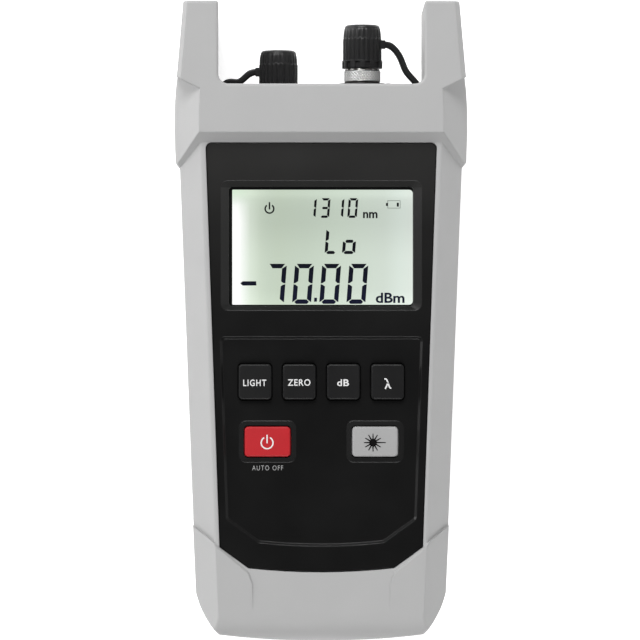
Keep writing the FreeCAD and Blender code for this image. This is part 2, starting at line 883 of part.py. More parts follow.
def make_cell(index):
    """One AA cell; neighbours point opposite ways so that the three are in series."""
    middle_y = bay_low_y + bay_length / 2
    low = -cell_length / 2
    body = cylinder_y(cell_radius, low, cell_length / 2 - cell_nub_height)
    rims = edges_where(body, lambda p: abs(p.y - low) < 0.1 or abs(p.y + low + cell_nub_height) < 0.1)
    body = body.makeFillet(0.6, [e for e in rims if len(e.Vertexes) == 1])
    cell = body.fuse(cylinder_y(cell_nub_radius, low + cell_length - cell_nub_height - 1, -low))
    if index % 2:
        cell.rotate(V(0, 0, 0), AXIS_Z, 180)
    cell.translate(V(cell_x(index), middle_y, cell_z()))
    return cell


def strip(points, thickness, x0, x1):
    """Sheet-metal strip along X whose section follows a polyline of (y, z) points."""
    sides = ([], [])
    for i, point in enumerate(points):
        before = points[max(i - 1, 0)]
        after = points[min(i + 1, len(points) - 1)]
        here = V(0, point[0], point[1])
        into = here - V(0, *before) if i else V(0, *after) - here
        out = V(0, *after) - here if i < len(points) - 1 else into
        into.normalize()
        out.normalize()
        bisector = into + out
        bisector.normalize()
        normal = V(0, -bisector.z, bisector.y)
        reach = thickness / 2 / max(0.35, bisector.dot(into))
        sides[0].append((point[0] + normal.y * reach, point[1] + normal.z * reach))
        sides[1].append((point[0] - normal.y * reach, point[1] - normal.z * reach))
    return prism_x(sides[0] + sides[1][::-1], x0, x1)


def contact_layout():
    """Where the contact strips stand: (middle x, width, x of the tab that reaches the board)."""
    single = contact_width
    pair = contact_width + cell_pitch
    far_y = bay_low_y + bay_length
    lower_pair_x = (cell_x(0) + cell_x(1)) / 2
    upper_pair_x = (cell_x(1) + cell_x(2)) / 2
    return [
        {
            "name": "battery_contacts_top",
            "wall_y": far_y,
            "inward": -1,
            "plates": [(cell_x(0), single, cell_x(0)), (upper_pair_x, pair, None)],
        },
        {
            "name": "battery_contacts_bottom",
            "wall_y": bay_low_y,
            "inward": 1,
            "plates": [(lower_pair_x, pair, None), (cell_x(2), single, cell_x(2))],
        },
    ]


def make_contacts(end):
    """Bent strips at one end of the bay: a back plate and a leaf that presses on the cell's end."""
    inward = end["inward"]
    back = end["wall_y"] + inward * (contact_thickness / 2 + contact_foot_gap)
    reach = (bay_length - cell_length) / 2 - contact_thickness / 2 - contact_foot_gap
    middle_z = cell_z()
    leaf = [
        (back, middle_z + leaf_reach),
        (back, middle_z - leaf_reach),
        (back + inward * 1.0, middle_z - leaf_reach - 0.8),
        (end["wall_y"] + inward * reach, middle_z - 0.6),
        (end["wall_y"] + inward * reach, middle_z + 0.6),
        (back + inward * 1.1, middle_z + 4.2),
    ]
    made = []
    for x, width, tab_x in end["plates"]:
        plate = strip(leaf, contact_thickness, x - width / 2, x + width / 2)
        if tab_x is not None:
            half = contact_tab_width / 2
            y0 = back - contact_thickness / 2
            tab = block(
                tab_x - half,
                tab_x + half,
                y0,
                y0 + contact_thickness,
                middle_z + 5.0,
                board_top_z - board_thickness,
            )
            plate = plate.fuse(tab)
        made.append(plate.removeSplitter())
    return Part.makeCompound(made)


# ---------------------------------------------------------------- board and display
def make_board():
    low_z = board_top_z - board_thickness
    board = rounded_block(
        -board_half_width, board_half_width, board_low_y, board_top_y, low_z, board_top_z, board_corner_radius
    )
    holes = []
    for screw_x, screw_y in (upper_screw, lower_screw):
        for x in (-screw_x, screw_x):
            holes.append(cylinder_z(boss_radius + boss_hole_gap, low_z - 1, board_top_z + 1, x, screw_y))
    for post_x, post_y in board_posts:
        for x in (-post_x, post_x):
            holes.append(cylinder_z(board_screw_radius + 0.2, low_z - 1, board_top_z + 1, x, post_y))
    return board.cut(holes)


def display_middle_y():
    return (bezel_top_y - bezel_slope_top + bezel_low_y + bezel_slope_low) / 2


def display_block(width, length, low_z, high_z):
    y = display_middle_y()
    return block(-width / 2, width / 2, y - length / 2, y + length / 2, low_z, high_z)


def glass_low_z():
    return board_top_z + light_thickness


def glass_top_z():
    return glass_low_z() + glass_thickness


def make_lens():
    """Clear window bonded under the panel's opening."""
    high = panel_z - panel_wall
    x = bezel_half_width - bezel_slope_side + lens_margin
    y0 = bezel_low_y + bezel_slope_low - lens_margin
    y1 = bezel_top_y - bezel_slope_top + lens_margin
    return rounded_block(-x, x, y0, y1, high - lens_thickness, high, 1.0)


def make_gasket():
    """Foam ring squeezed between the glass and the window."""
    high = panel_z - panel_wall - lens_thickness
    outer = display_block(glass_width, glass_length, glass_top_z(), high)
    inner = display_block(
        glass_width - 2 * gasket_band, glass_length - 2 * gasket_band, glass_top_z() - 1, high + 1
    )
    return outer.cut(inner)


def make_zebra_strips():
    """Rubber connector strips between the glass and the board, above and below the backlight."""
    y = display_middle_y()
    made = []
    for side in (-1, 1):
        middle = y + side * (glass_length / 2 - zebra_width / 2 - 0.3)
        made.append(
            block(
                -zebra_length / 2,
                zebra_length / 2,
                middle - zebra_width / 2,
                middle + zebra_width / 2,
                board_top_z,
                glass_low_z(),
            )
        )
    return Part.makeCompound(made)


def make_backlight():
    """Light box: a slab with a lamp bar at one end."""
    length = glass_length - 2 * (zebra_width + 0.9)
    return display_block(glass_width - 1.0, length, board_top_z, glass_low_z())


def make_lcd_frame():
    grow = 2 * (frame_wall + stack_gap)
    top = glass_top_z() - 0.2
    outer = display_block(glass_width + grow, glass_length + grow, board_top_z, top)
    inner = display_block(
        glass_width + 2 * stack_gap, glass_length + 2 * stack_gap, board_top_z - 1, top + 1
    )
    return outer.cut(inner)


def make_chips():
    """Controller, converter and amplifier packages under the board."""
    under = board_top_z - board_thickness
    made = []
    for x, y, width, length, height in chip_layout:
        made.append(
            block(x - width / 2, x + width / 2, y - length / 2, y + length / 2, under - height, under)
        )
    return Part.makeCompound(made)


def cross_recess(radius, z, depth):
    """Cutter for a cross-head recess opening downwards at a height."""
    half = radius * 0.16
    reach = radius * 0.6
    return [
        block(-reach, reach, -half, half, z - 1, z + depth),
        block(-half, half, -reach, reach, z - 1, z + depth),
    ]


def screw_up(x, y, head_radius, head_height, radius, seat_z, length):
    """Screw driven from the back, with its head below the seat."""
    head = cylinder_z(head_radius, seat_z - head_height, seat_z, 0, 0)
    rim = edges_where(head, lambda p: abs(p.z - seat_z + head_height) < 0.01)
    head = head.makeFillet(head_height * 0.35, [e for e in rim if len(e.Vertexes) == 1])
    shank = cylinder_z(radius, seat_z - 0.5, seat_z + length, 0, 0)
    screw = head.fuse(shank).cut(cross_recess(head_radius, seat_z - head_height, head_height * 0.6))
    screw.translate(V(x, y, 0))
    return screw.removeSplitter()


def make_case_screws():
    made = []
    for screw_x, screw_y in (upper_screw, lower_screw):
        for x in (-screw_x, screw_x):
            made.append(
                screw_up(
                    x, screw_y, screw_head_radius, screw_head_height, screw_radius, screw_ledge_z, screw_length
                )
            )
    return Part.makeCompound(made)


def make_board_screws():
    made = []
    for post_x, post_y in board_posts:
        for x in (-post_x, post_x):
            made.append(
                screw_up(
                    x,
                    post_y,
                    board_screw_head_radius,
                    board_screw_head_height,
                    board_screw_radius,
                    board_top_z - board_thickness,
                    board_screw_length,
                )
            )
    return Part.makeCompound(made)


# ---------------------------------------------------------------- keypad
def key_table():
    """The six keys by name."""
    keys = {}
    for i, name in enumerate(("light_key", "zero_key", "db_key", "wavelength_key")):
        keys[name] = {
            "x": (i - 1.5) * small_key_pitch,
            "y": small_key_y,
            "width": small_key_width,
            "length": small_key_length,
            "top": small_key_top_z,
            "collar": False,
        }
    for name, side in (("power_key", -1), ("laser_key", 1)):
        keys[name] = {
            "x": side * wide_key_x,
            "y": wide_key_y,
            "width": wide_key_width,
            "length": wide_key_length,
            "top": wide_key_top_z,
            "collar": True,
        }
    return keys


def key_flange_top():
    return panel_z - panel_wall - key_flange_gap


def pill_top():
    return board_top_z + key_travel + key_stop_gap + pill_thickness


def make_key(key):
    """Silicone key: cap, flange under the panel and a foot that carries the contact pill."""
    flange_top = key_flange_top()
    flange_low = flange_top - key_flange_thickness
    cap = prism_z(key_plan(key), flange_top, key["top"])
    top_edges = edges_where(cap, lambda p: abs(p.z - key["top"]) < 0.01)
    cap = cap.makeFillet(key_edge, top_edges)
    flange = prism_z(key_plan(key, key_flange), flange_low, flange_top)
    foot = prism_z(key_plan(key, -key_foot_inset), pill_top(), flange_low)
    return cap.fuse([flange, foot])


def make_pill(key):
    high = pill_top()
    return cylinder_z(pill_radius, high - pill_thickness, high, key["x"], key["y"])


def make_keypad_mat(keys):
    """Silicone sheet on the board that surrounds the keys' feet."""
    feet = [key_plan(key, mat_margin - key_foot_inset) for key in keys.values()]
    xs = [abs(key["x"]) + key["width"] / 2 for key in keys.values()]
    ys = [key["y"] for key in keys.values()]
    margin = small_key_length / 2 + 1.2
    mat = rounded_block(
        -max(xs) - 1.2,
        max(xs) + 1.2,
        min(ys) - margin,
        max(ys) + margin,
        board_top_z,
        board_top_z + mat_thickness,
        2.0,
    )
    cuts = [prism_z(foot, board_top_z - 1, board_top_z + mat_thickness + 1) for foot in feet]
    return mat.cut(cuts)


# ---------------------------------------------------------------- sockets
def hexagon_y(flats, y0, y1, x, z):
    radius = flats / math.sqrt(3)
    corners = []
    for i in range(6):
        a = math.radians(60 * i)
        corners.append(V(x + radius * math.cos(a), y0, z + radius * math.sin(a)))
    return Part.Face(polygon(corners)).extrude(V(0, y1 - y0, 0))


def socket_rear_y():
    """Rear end of the detector's receptacle, a little past its nut."""
    return deck_y - case_wall - socket_nut_thickness - socket_rear_length


def make_detector_socket():
    """Threaded fibre receptacle: flange on the case, spigot outside, ferrule bore down the middle."""
    rear_y = socket_rear_y()
    body = cylinder_y(spigot_radius, rear_y, detector_spigot_top_y)
    rim = edges_where(body, lambda p: abs(p.y - detector_spigot_top_y) < 0.01)
    body = body.makeChamfer(0.4, [e for e in rim if len(e.Vertexes) == 1])
    body = body.fuse(cylinder_y(flange_radius, deck_y, deck_y + flange_thickness))
    bore = cylinder_y(ferrule_radius, detector_spigot_top_y - ferrule_depth, detector_spigot_top_y + 1)
    room = cylinder_y(can_rim_radius + seat_gap, rear_y - 1, detector_spigot_top_y - ferrule_depth)
    counterbore = cylinder_y(
        spigot_bore_radius, detector_spigot_top_y - spigot_bore_depth, detector_spigot_top_y + 1
    )
    nose = cylinder_y(
        ferrule_radius + 0.6, detector_spigot_top_y - spigot_bore_depth - 1, detector_spigot_top_y - 1.2
    )
    notch = block(
        -key_notch / 2,
        key_notch / 2,
        detector_spigot_top_y - spigot_bore_depth,
        detector_spigot_top_y + 1,
        spigot_bore_radius - 0.5,
        spigot_radius + 1,
    )
    socket = body.cut([counterbore, notch]).fuse(nose).cut([bore, room])
    socket.translate(V(-port_x, 0, port_z))
    return socket


def make_socket_nut():
    inner_y = deck_y - case_wall
    nut = hexagon_y(socket_nut_flats, inner_y - socket_nut_thickness, inner_y, -port_x, port_z)
    hole = cylinder_y(spigot_radius + 0.05, inner_y - socket_nut_thickness - 1, inner_y + 1, -port_x, port_z)
    return nut.cut(hole)


def make_photodiode():
    """Detector in a metal can inside the socket, with two legs back and up to the board."""
    front_y = detector_spigot_top_y - ferrule_depth - can_gap
    back_y = front_y - can_length
    can = cylinder_y(can_radius, back_y, front_y, -port_x, port_z)
    rim = cylinder_y(can_rim_radius, back_y - can_rim_thickness, back_y, -port_x, port_z)
    body = can.fuse(rim)
    leg_y = socket_rear_y() - leg_reach
    for side in (-1, 1):
        x = side * leg_spread - port_x
        leg = cylinder_y(leg_radius, leg_y, back_y, x, port_z)
        rise = cylinder_z(leg_radius, port_z, board_top_z - board_thickness, x, leg_y)
        bend = Part.makeSphere(leg_radius, V(x, leg_y, port_z))
        body = body.fuse([leg, rise, bend])
    return body


def make_laser_barrel():
    """Turned brass housing: wide tube inside the case, threaded neck and slim nose outside."""
    inner_y = deck_y - case_wall
    tube = cylinder_y(laser_tube_radius, laser_tube_low_y, inner_y)
    neck = cylinder_y(spigot_radius, inner_y - 1, laser_shoulder_y - 0.4)
    nose = cylinder_y(laser_nose_radius, inner_y, laser_nose_top_y)
    room = cylinder_y(laser_tube_radius - 1.0, laser_tube_low_y - 1, laser_tube_low_y + laser_room)
    beam = cylinder_y(light_path_radius, laser_tube_low_y, laser_nose_top_y + 1)
    seat = cylinder_y(sleeve_radius + 0.02, sleeve_low_y, laser_nose_top_y + 1)
    barrel = tube.fuse([neck, nose]).cut([room, beam, seat])
    barrel.translate(V(port_x, 0, port_z))
    return barrel


def make_laser_nut():
    """Round nut with two flats that clamps the barrel to the case."""
    nut = cylinder_y(flange_radius, deck_y, laser_shoulder_y)
    rim = edges_where(nut, lambda p: abs(p.y - laser_shoulder_y) < 0.01)
    nut = nut.makeChamfer(0.5, [e for e in rim if len(e.Vertexes) == 1])
    flats = [
        block(-FAR, FAR, deck_y + 2, laser_shoulder_y + 1, flange_radius - 0.7, FAR),
        block(-FAR, FAR, deck_y + 2, laser_shoulder_y + 1, -FAR, 0.7 - flange_radius),
    ]
    hole = cylinder_y(spigot_radius + 0.05, deck_y - 1, laser_shoulder_y + 1)
    nut = nut.cut(flats + [hole])
    nut.translate(V(port_x, 0, port_z))
    return nut


def make_ceramic_sleeve():
    outer = cylinder_y(sleeve_radius, sleeve_low_y, sleeve_top_y, port_x, port_z)
    return outer.cut(cylinder_y(ferrule_radius, sleeve_low_y - 1, sleeve_top_y + 1, port_x, port_z))


def make_laser_diode():
    """Diode can with its lens, seated in the wide tube."""
    low = laser_tube_low_y + laser_room - diode_length
    base = cylinder_y(laser_tube_radius - 1.05, low, low + 1.2, port_x, port_z)
    can = cylinder_y(laser_tube_radius - 2.2, low + 1.0, low + diode_length, port_x, port_z)
    return base.fuse(can)


def make_laser_board():
    """Small driver board in the tube's open end, with its three packages."""
    high = laser_tube_low_y + laser_room - diode_length - 0.2
    board = block(
        port_x - laser_tube_radius + 1.5,
        port_x + laser_tube_radius - 1.5,
        laser_tube_low_y - laser_board_overhang,
        high,
        port_z - 0.5,
        port_z + 0.5,
    )
    for i in range(3):
        y = laser_tube_low_y - laser_board_overhang + 2.0 + i * 3.4
        board = board.fuse(block(port_x - 1.3, port_x + 1.3, y, y + 2.2, port_z + 0.4, port_z + 1.4))
    return board


def make_coupler():
    """Turning ring with the threaded spigot that the laser's cap fits over."""
    ring = cylinder_y(coupler_radius, coupler_low_y, coupler_knurl_top_y)
    rims = [e for e in ring.Edges if len(e.Vertexes) == 1]
    ring = ring.makeChamfer(0.35, rims)
    spigot = cylinder_y(spigot_radius, coupler_knurl_top_y - 1, coupler_spigot_top_y)
    rim = edges_where(spigot, lambda p: abs(p.y - coupler_spigot_top_y) < 0.01)
    spigot = spigot.makeChamfer(0.35, [e for e in rim if len(e.Vertexes) == 1])
    bore = cylinder_y(laser_nose_radius + 0.15, coupler_low_y - 1, coupler_spigot_top_y + 1)
    notch = block(-key_notch / 2, key_notch / 2, coupler_spigot_top_y - 2.2, coupler_spigot_top_y + 1, 0, FAR)
    coupler = ring.fuse(spigot).cut([bore, notch])
    coupler.translate(V(port_x, 0, port_z))
    return coupler


# ---------------------------------------------------------------- dust caps
def turned_y(profile):
    """Solid of revolution about the Y axis from (radius, y) points."""
    face = Part.Face(polygon([V(r, y, 0) for r, y in profile]))
    return face.revolve(V(0, 0, 0), AXIS_Y, 360)


def make_cap(x, low_y, lug_y, side):
    """Ribbed rubber cap with a notched collar, a blind hole and a lug for its strap."""
    rib_low = cap_collar_length
    rib_high = rib_low + cap_rib_length
    shoulder = rib_high + cap_shoulder_length
    body = turned_y(
        [
            (0, 0),
            (cap_collar_radius, 0),
            (cap_collar_radius, rib_low),
            (cap_rib_radius, rib_low),
            (cap_rib_radius, rib_high),
            (cap_top_radius, shoulder),
            (cap_top_radius, cap_length),
            (0, cap_length),
        ]
    )
    rim = edges_where(body, lambda p: abs(p.y - cap_length) < 0.01)
    body = body.makeFillet(cap_top_edge, [e for e in rim if abs(e.BoundBox.XMax - cap_top_radius) < 0.01])
    cuts = [cylinder_y(spigot_radius + cap_grip_gap, -1, cap_length - cap_roof)]
    centre_radius = cap_rib_radius + flute_radius - flute_depth
    for i in range(cap_flutes):
        a = 2 * math.pi * (i + 0.5) / cap_flutes
        flute = cylinder_y(
            flute_radius,
            rib_low,
            shoulder + 0.4,
            centre_radius * math.cos(a),
            centre_radius * math.sin(a),
        )
        cuts.append(flute)
    for i in range(cap_notches):
        notch = block(
            -notch_width / 2,
            notch_width / 2,
            -1,
            rib_low - notch_floor,
            cap_collar_radius - notch_depth,
            cap_collar_radius + 1,
        )
        notch.rotate(V(0, 0, 0), AXIS_Y, 360.0 * (i + 0.5) / cap_notches)
        cuts.append(notch)
    body = body.cut(cuts)
    lug = block(
        cap_top_radius - 0.6,
        cap_lug_reach,
        lug_y - low_y - strap_width / 2 - 0.3,
        lug_y - low_y + strap_width / 2 + 0.3,
        -strap_depth / 2 - 0.2,
        strap_depth / 2 + 0.2,
    )
    if side < 0:
        lug = lug.mirror(V(0, 0, 0), AXIS_X)
    cap = body.fuse(lug)
    cap.translate(V(x, low_y, port_z))
    return cap


def strap_plan(path):
    """Flat outline of a strap: the path's smooth centre line, offset to both sides."""
    centre = Part.BSplineCurve()
    centre.interpolate([V(x, y, 0) for x, y in path])
    sides = ([], [])
    for i in range(strap_steps + 1):
        t = i / strap_steps * (centre.LastParameter - centre.FirstParameter) + centre.FirstParameter
        along = centre.tangent(t)[0]
        across = V(-along.y, along.x, 0) * (strap_width / 2)
        sides[0].append(centre.value(t) + across)
        sides[1].append(centre.value(t) - across)
    edges = []
    for points in (sides[0], sides[1][::-1]):
        curve = Part.BSplineCurve()
        curve.interpolate(points)
        edges.append(curve.toShape())
    edges.append(Part.makeLine(sides[0][-1], sides[1][-1]))
    edges.append(Part.makeLine(sides[0][0], sides[1][0]))
    return Part.Wire(Part.__sortEdges__(edges))


def make_tether(x, ring_low_y, hole_radius, path):
    """Ring round the socket and the strap that runs from it to the cap's lug."""
    ring = cylinder_y(ring_outer_radius, ring_low_y, ring_low_y + ring_thickness, x, port_z)
    hole = cylinder_y(hole_radius + ring_gap, ring_low_y - 1, ring_low_y + ring_thickness + 1, x, port_z)
    strap = prism_z(strap_plan(path), port_z - strap_depth / 2, port_z + strap_depth / 2)
    long_edges = edges_where(strap, lambda p: abs(abs(p.z - port_z) - strap_depth / 2) < 0.01)
    strap = strap.makeFillet(strap_edge, [e for e in long_edges if e.Length > 2 * strap_width])
    return ring.fuse(strap).cut(hole)


# ---------------------------------------------------------------- all nodes
def main():
    os.makedirs("parts", exist_ok=True)
    keys = key_table()
    keep("protective_boot", make_boot())
    keep("front_case", make_front_case(keys))
    keep("rear_case", make_rear_case())
    keep("battery_cover", make_battery_cover())
    for index in range(3):
        keep("battery_cell_%d" % (index + 1), make_cell(index))
    for end in contact_layout():
        keep(end["name"], make_contacts(end))
    keep("main_board", make_board())
    keep("controller_chips", make_chips())
    keep("case_screws", make_case_screws())
    keep("board_screws", make_board_screws())
    keep("display_window", make_lens())
    keep("display_gasket", make_gasket())
    keep("lcd_glass", display_block(glass_width, glass_length, glass_low_z(), glass_top_z()))
    keep("lcd_backlight", make_backlight())
    keep("lcd_frame", make_lcd_frame())
    keep("zebra_strips", make_zebra_strips())
    keep("keypad_mat", make_keypad_mat(keys))
    for name, key in keys.items():
        keep(name, make_key(key))
        keep(name + "_contact", make_pill(key))
    keep("detector_socket", make_detector_socket())
    keep("detector_nut", make_socket_nut())
    keep("photodiode", make_photodiode())
    keep("laser_barrel", make_laser_barrel())
    keep("laser_nut", make_laser_nut())
    keep("ceramic_sleeve", make_ceramic_sleeve())
    keep("laser_diode", make_laser_diode())
    keep("laser_driver_board", make_laser_board())
    keep("laser_coupler", make_coupler())
    left_ring_y = deck_y + flange_thickness + 0.1
    right_ring_y = laser_shoulder_y + 0.1
    keep("detector_dust_cap", make_cap(-port_x, detector_cap_low_y, detector_lug_y, -1))
    keep("laser_dust_cap", make_cap(port_x, laser_cap_low_y, laser_lug_y, 1))
    left_path = [(-port_x - ring_outer_radius + 0.6, left_ring_y + ring_thickness / 2)]
    left_path += [(-port_x - dx, deck_y + dy) for dx, dy in detector_strap_path]
    left_path += [(-port_x - cap_lug_reach - strap_end_gap, detector_lug_y)]
    right_path = [(port_x + ring_outer_radius - 0.6, right_ring_y + ring_thickness / 2)]
    right_path += [(port_x + dx, deck_y + dy) for dx, dy in laser_strap_path]
    right_path += [(port_x + cap_lug_reach + strap_end_gap, laser_lug_y)]
    keep("detector_cap_tether", make_tether(-port_x, left_ring_y, spigot_radius, left_path))
    keep("laser_cap_tether", make_tether(port_x, right_ring_y, laser_nose_radius, right_path))
    total = 0
    for name, shape in PARTS.items():
        shape.exportStep(os.path.join("parts", name + ".step"))
        total += 1
        print(name, len(shape.Solids), round(shape.Volume, 1), shape.isValid())
    print(total, "nodes")


main()
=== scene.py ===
"""Looks of the handheld optical power meter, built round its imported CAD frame.

The meter lies on its back on a pale floor and the camera looks down on the display.
Outlines, places and sizes on the meter are in millimetres, and the studio's are in metres.
"""

import math
import bmesh
import bpy
from mathutils import Matrix, Vector


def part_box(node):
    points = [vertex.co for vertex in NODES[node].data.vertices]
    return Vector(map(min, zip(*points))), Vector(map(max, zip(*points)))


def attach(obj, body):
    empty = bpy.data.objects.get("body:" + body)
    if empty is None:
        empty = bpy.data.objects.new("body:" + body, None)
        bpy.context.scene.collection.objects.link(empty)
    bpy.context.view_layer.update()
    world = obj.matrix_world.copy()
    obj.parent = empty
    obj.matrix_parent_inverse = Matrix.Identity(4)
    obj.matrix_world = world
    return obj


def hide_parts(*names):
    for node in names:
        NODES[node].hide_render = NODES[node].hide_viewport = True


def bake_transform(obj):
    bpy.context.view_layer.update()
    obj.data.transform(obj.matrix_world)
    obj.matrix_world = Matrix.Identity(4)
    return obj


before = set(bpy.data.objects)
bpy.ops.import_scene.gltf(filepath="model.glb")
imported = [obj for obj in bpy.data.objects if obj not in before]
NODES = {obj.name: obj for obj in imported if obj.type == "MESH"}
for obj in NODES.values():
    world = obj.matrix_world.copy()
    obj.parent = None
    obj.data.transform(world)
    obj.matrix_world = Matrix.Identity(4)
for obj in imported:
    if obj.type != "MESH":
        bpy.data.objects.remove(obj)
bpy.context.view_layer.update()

MM = 0.001
METER = "meter"  # the body that stays still
VIEW_AREA = (-26.35, 27.2, 5.1, 39.2)  # lit part of the display: left, right, low, high

# ---------------------------------------------------------------- light
ROOM_LIGHT = 0.55
OVERHEAD_SHARE = 0.08  # what is left of the room's light straight above
UPWARD = (0.62, 0.93)  # upward part of a direction, over which the room goes dim
SIDEWAYS = (0.25, 0.75)  # sideways part of a direction, over which it goes bright
SIDE_LEVELS = (0.15, 1.0)  # share of the room's light before and after that
FLOOR_GLOW = 0.52
FLOOR_REACH = 3.0
FLOOR_DROP = 0.0002
LIGHT_AIM = Vector((0.0, 0.0, 0.02))
SOFTBOXES = (  # name, place, size, power in watts
    ("left_light", (-1.1, 0.4, 0.24), 0.6, 5.1),
    ("right_light", (1.0, 0.0, 0.45), 0.7, 0.5),
    ("far_light", (-0.15, 0.9, 0.9), 0.6, 13.4),
    ("near_light", (0.0, -0.85, 0.85), 0.6, 7.4),
)

# ---------------------------------------------------------------- camera
AIM = Vector((-0.00008, 0.00056, 0.023))
CAMERA_DISTANCE = 1.2
CAMERA_SWING = math.radians(-0.85)  # seen slightly from the left
FRAME_WIDTH = 0.1925  # width of the view in the plane of the aim point
SENSOR_WIDTH = 36.0  # in millimetres

camera_data = bpy.data.cameras.new("camera")
camera_data.sensor_width = SENSOR_WIDTH
camera_data.lens = SENSOR_WIDTH * CAMERA_DISTANCE / FRAME_WIDTH
camera_data.clip_start = 0.05
camera_data.clip_end = 20.0
camera = bpy.data.objects.new("camera", camera_data)
bpy.context.scene.collection.objects.link(camera)
camera.rotation_euler = (0.0, CAMERA_SWING, 0.0)
camera.location = AIM + CAMERA_DISTANCE * Vector((math.sin(CAMERA_SWING), 0.0, math.cos(CAMERA_SWING)))
bpy.context.scene.camera = camera
bpy.context.scene.view_settings.view_transform = "Standard"


# ---------------------------------------------------------------- node helpers
NOISE_SPAN = (0.3, 0.7)  # holds nearly all values of a noise texture


def grey(value):
    return (value, value, value)


class Nodes:
    """Short ways to add and join the nodes of one tree."""

    def __init__(self, tree):
        self.tree = tree

    def add(self, kind, **settings):
        node = self.tree.nodes.new(kind)
        for key, value in settings.items():
            setattr(node, key, value)
        return node

    def link(self, source, target):
        self.tree.links.new(source, target)

    def put(self, value, socket):
        """Fills a socket with a number, a colour or another node's output."""
        if isinstance(value, (int, float)):
            socket.default_value = value
        elif isinstance(value, tuple):
            socket.default_value = value + (1.0,)
        else:
            self.link(value, socket)

    def math(self, operation, *values, clamp=False):
        node = self.add("ShaderNodeMath", operation=operation, use_clamp=clamp)
        for value, socket in zip(values, node.inputs):
            self.put(value, socket)
        return node.outputs[0]

    def remap(self, value, source, target, **settings):
        """Carries a value from one range over to another."""
        node = self.add("ShaderNodeMapRange", **settings)
        for side, (low, high) in (("From", source), ("To", target)):
            node.inputs[side + " Min"].default_value = low
            node.inputs[side + " Max"].default_value = high
        self.link(value, node.inputs["Value"])
        return node.outputs[0]


class Shader(Nodes):
    """A material with its main shader."""

    def __init__(self, name, roughness=0.5, metallic=0.0, specular=0.5):
        self.material = bpy.data.materials.new(name)
        self.material.use_nodes = True
        super().__init__(self.material.node_tree)
        self.bsdf = self.tree.nodes["Principled BSDF"]
        self.bsdf.inputs["Roughness"].default_value = roughness
        self.bsdf.inputs["Metallic"].default_value = metallic
        self.bsdf.inputs["Specular IOR Level"].default_value = specular
        self.place = self.add("ShaderNodeTexCoord").outputs["Object"]

    def feed(self, name, source):
        """Links a node's output to a socket of the main shader."""
        self.link(source, self.bsdf.inputs[name])

    def noise(self, scale, detail=2.0, roughness=0.5, stretch=None):
        source = self.place
        if stretch is not None:
            mapping = self.add("ShaderNodeMapping")
            mapping.inputs["Scale"].default_value = stretch
            self.link(self.place, mapping.inputs["Vector"])
            source = mapping.outputs["Vector"]
        node = self.add("ShaderNodeTexNoise")
        node.inputs["Scale"].default_value = scale
        node.inputs["Detail"].default_value = detail
        node.inputs["Roughness"].default_value = roughness
        self.link(source, node.inputs["Vector"])
        return node.outputs["Fac"]

    def ramp(self, value, stops):
        """Colour read from a value through (position, colour) stops."""
        node = self.add("ShaderNodeValToRGB")
        elements = node.color_ramp.elements
        while len(elements) < len(stops):
            elements.new(0.5)
        for element, (position, colour) in zip(elements, stops):
            element.position = position
            element.color = colour + (1.0,)
        self.link(value, node.inputs["Fac"])
        return node.outputs["Color"]

    def cloud(self, dark, light, scale, detail=2.0):
        """Colour that drifts softly between two others."""
        return self.ramp(self.noise(scale, detail), list(zip(NOISE_SPAN, (dark, light))))

    def mix(self, factor, a, b, blend="MIX"):
        node = self.add("ShaderNodeMix", data_type="RGBA", blend_type=blend)
        self.put(factor, node.inputs[0])
        self.put(a, node.inputs[6])
        self.put(b, node.inputs[7])
        return node.outputs[2]

    def axis(self, name):
        node = self.add("ShaderNodeSeparateXYZ")
        self.link(self.place, node.inputs[0])
        return node.outputs[name]

    def share(self, name, low, high):
        """Place along an axis as a share of the way from low to high."""
        start = self.math("SUBTRACT", self.axis(name), low * MM)
        return self.math("DIVIDE", start, (high - low) * MM, clamp=True)

    def patch(self, centre, half):
        """One inside a rectangle and its mirror image in X, given by centre and half size."""
        inside = []
        places = (self.math("ABSOLUTE", self.axis("X")), self.axis("Y"))
        for place, middle, reach in zip(places, centre, half):
            off = self.math("ABSOLUTE", self.math("SUBTRACT", place, middle * MM))
            inside.append(self.math("LESS_THAN", off, reach * MM))
        return self.math("MULTIPLY", *inside)

    def tint(self, colour, amount, scale):
        """Base colour that drifts a little about its mean."""
        dark = tuple(c * (1.0 - amount) for c in colour)
        light = tuple(min(1.0, c * (1.0 + amount)) for c in colour)
        self.feed("Base Color", self.cloud(dark, light, scale, 3.0))

    def gloss(self, low, high, scale):
        """Roughness that drifts between two values."""
        self.feed("Roughness", self.remap(self.noise(scale, 3.0), NOISE_SPAN, (low, high)))

    def relief(self, height, depth, strength=0.3, edge=0.0):
        """Bump of some depth from a height; an edge radius also softens hard corners."""
        node = self.add("ShaderNodeBump")
        node.inputs["Distance"].default_value = depth * MM
        node.inputs["Strength"].default_value = strength
        self.link(height, node.inputs["Height"])
        if edge:
            soft = self.add("ShaderNodeBevel", samples=6)
            soft.inputs["Radius"].default_value = edge * MM
            self.link(soft.outputs[0], node.inputs["Normal"])
        self.feed("Normal", node.outputs[0])


# ---------------------------------------------------------------- plastics, rubbers and metals
TONE_SCALE = 90.0  # noise scales of the slow drift in tone and in gloss
GLOSS_SCALE = 60.0


def moulded(name, colour, roughness, grain, scale, edge=0.0, drift=0.05, specular=0.5):
    """Moulded plastic or silicone: fine grain, soft corners, slight drift of tone and gloss."""
    shader = Shader(name, roughness, 0.0, specular)
    shader.tint(colour, drift, TONE_SCALE)
    shader.gloss(roughness - 0.05, roughness + 0.05, GLOSS_SCALE)
    shader.relief(shader.noise(scale), grain, 0.6, edge)
    return shader.material


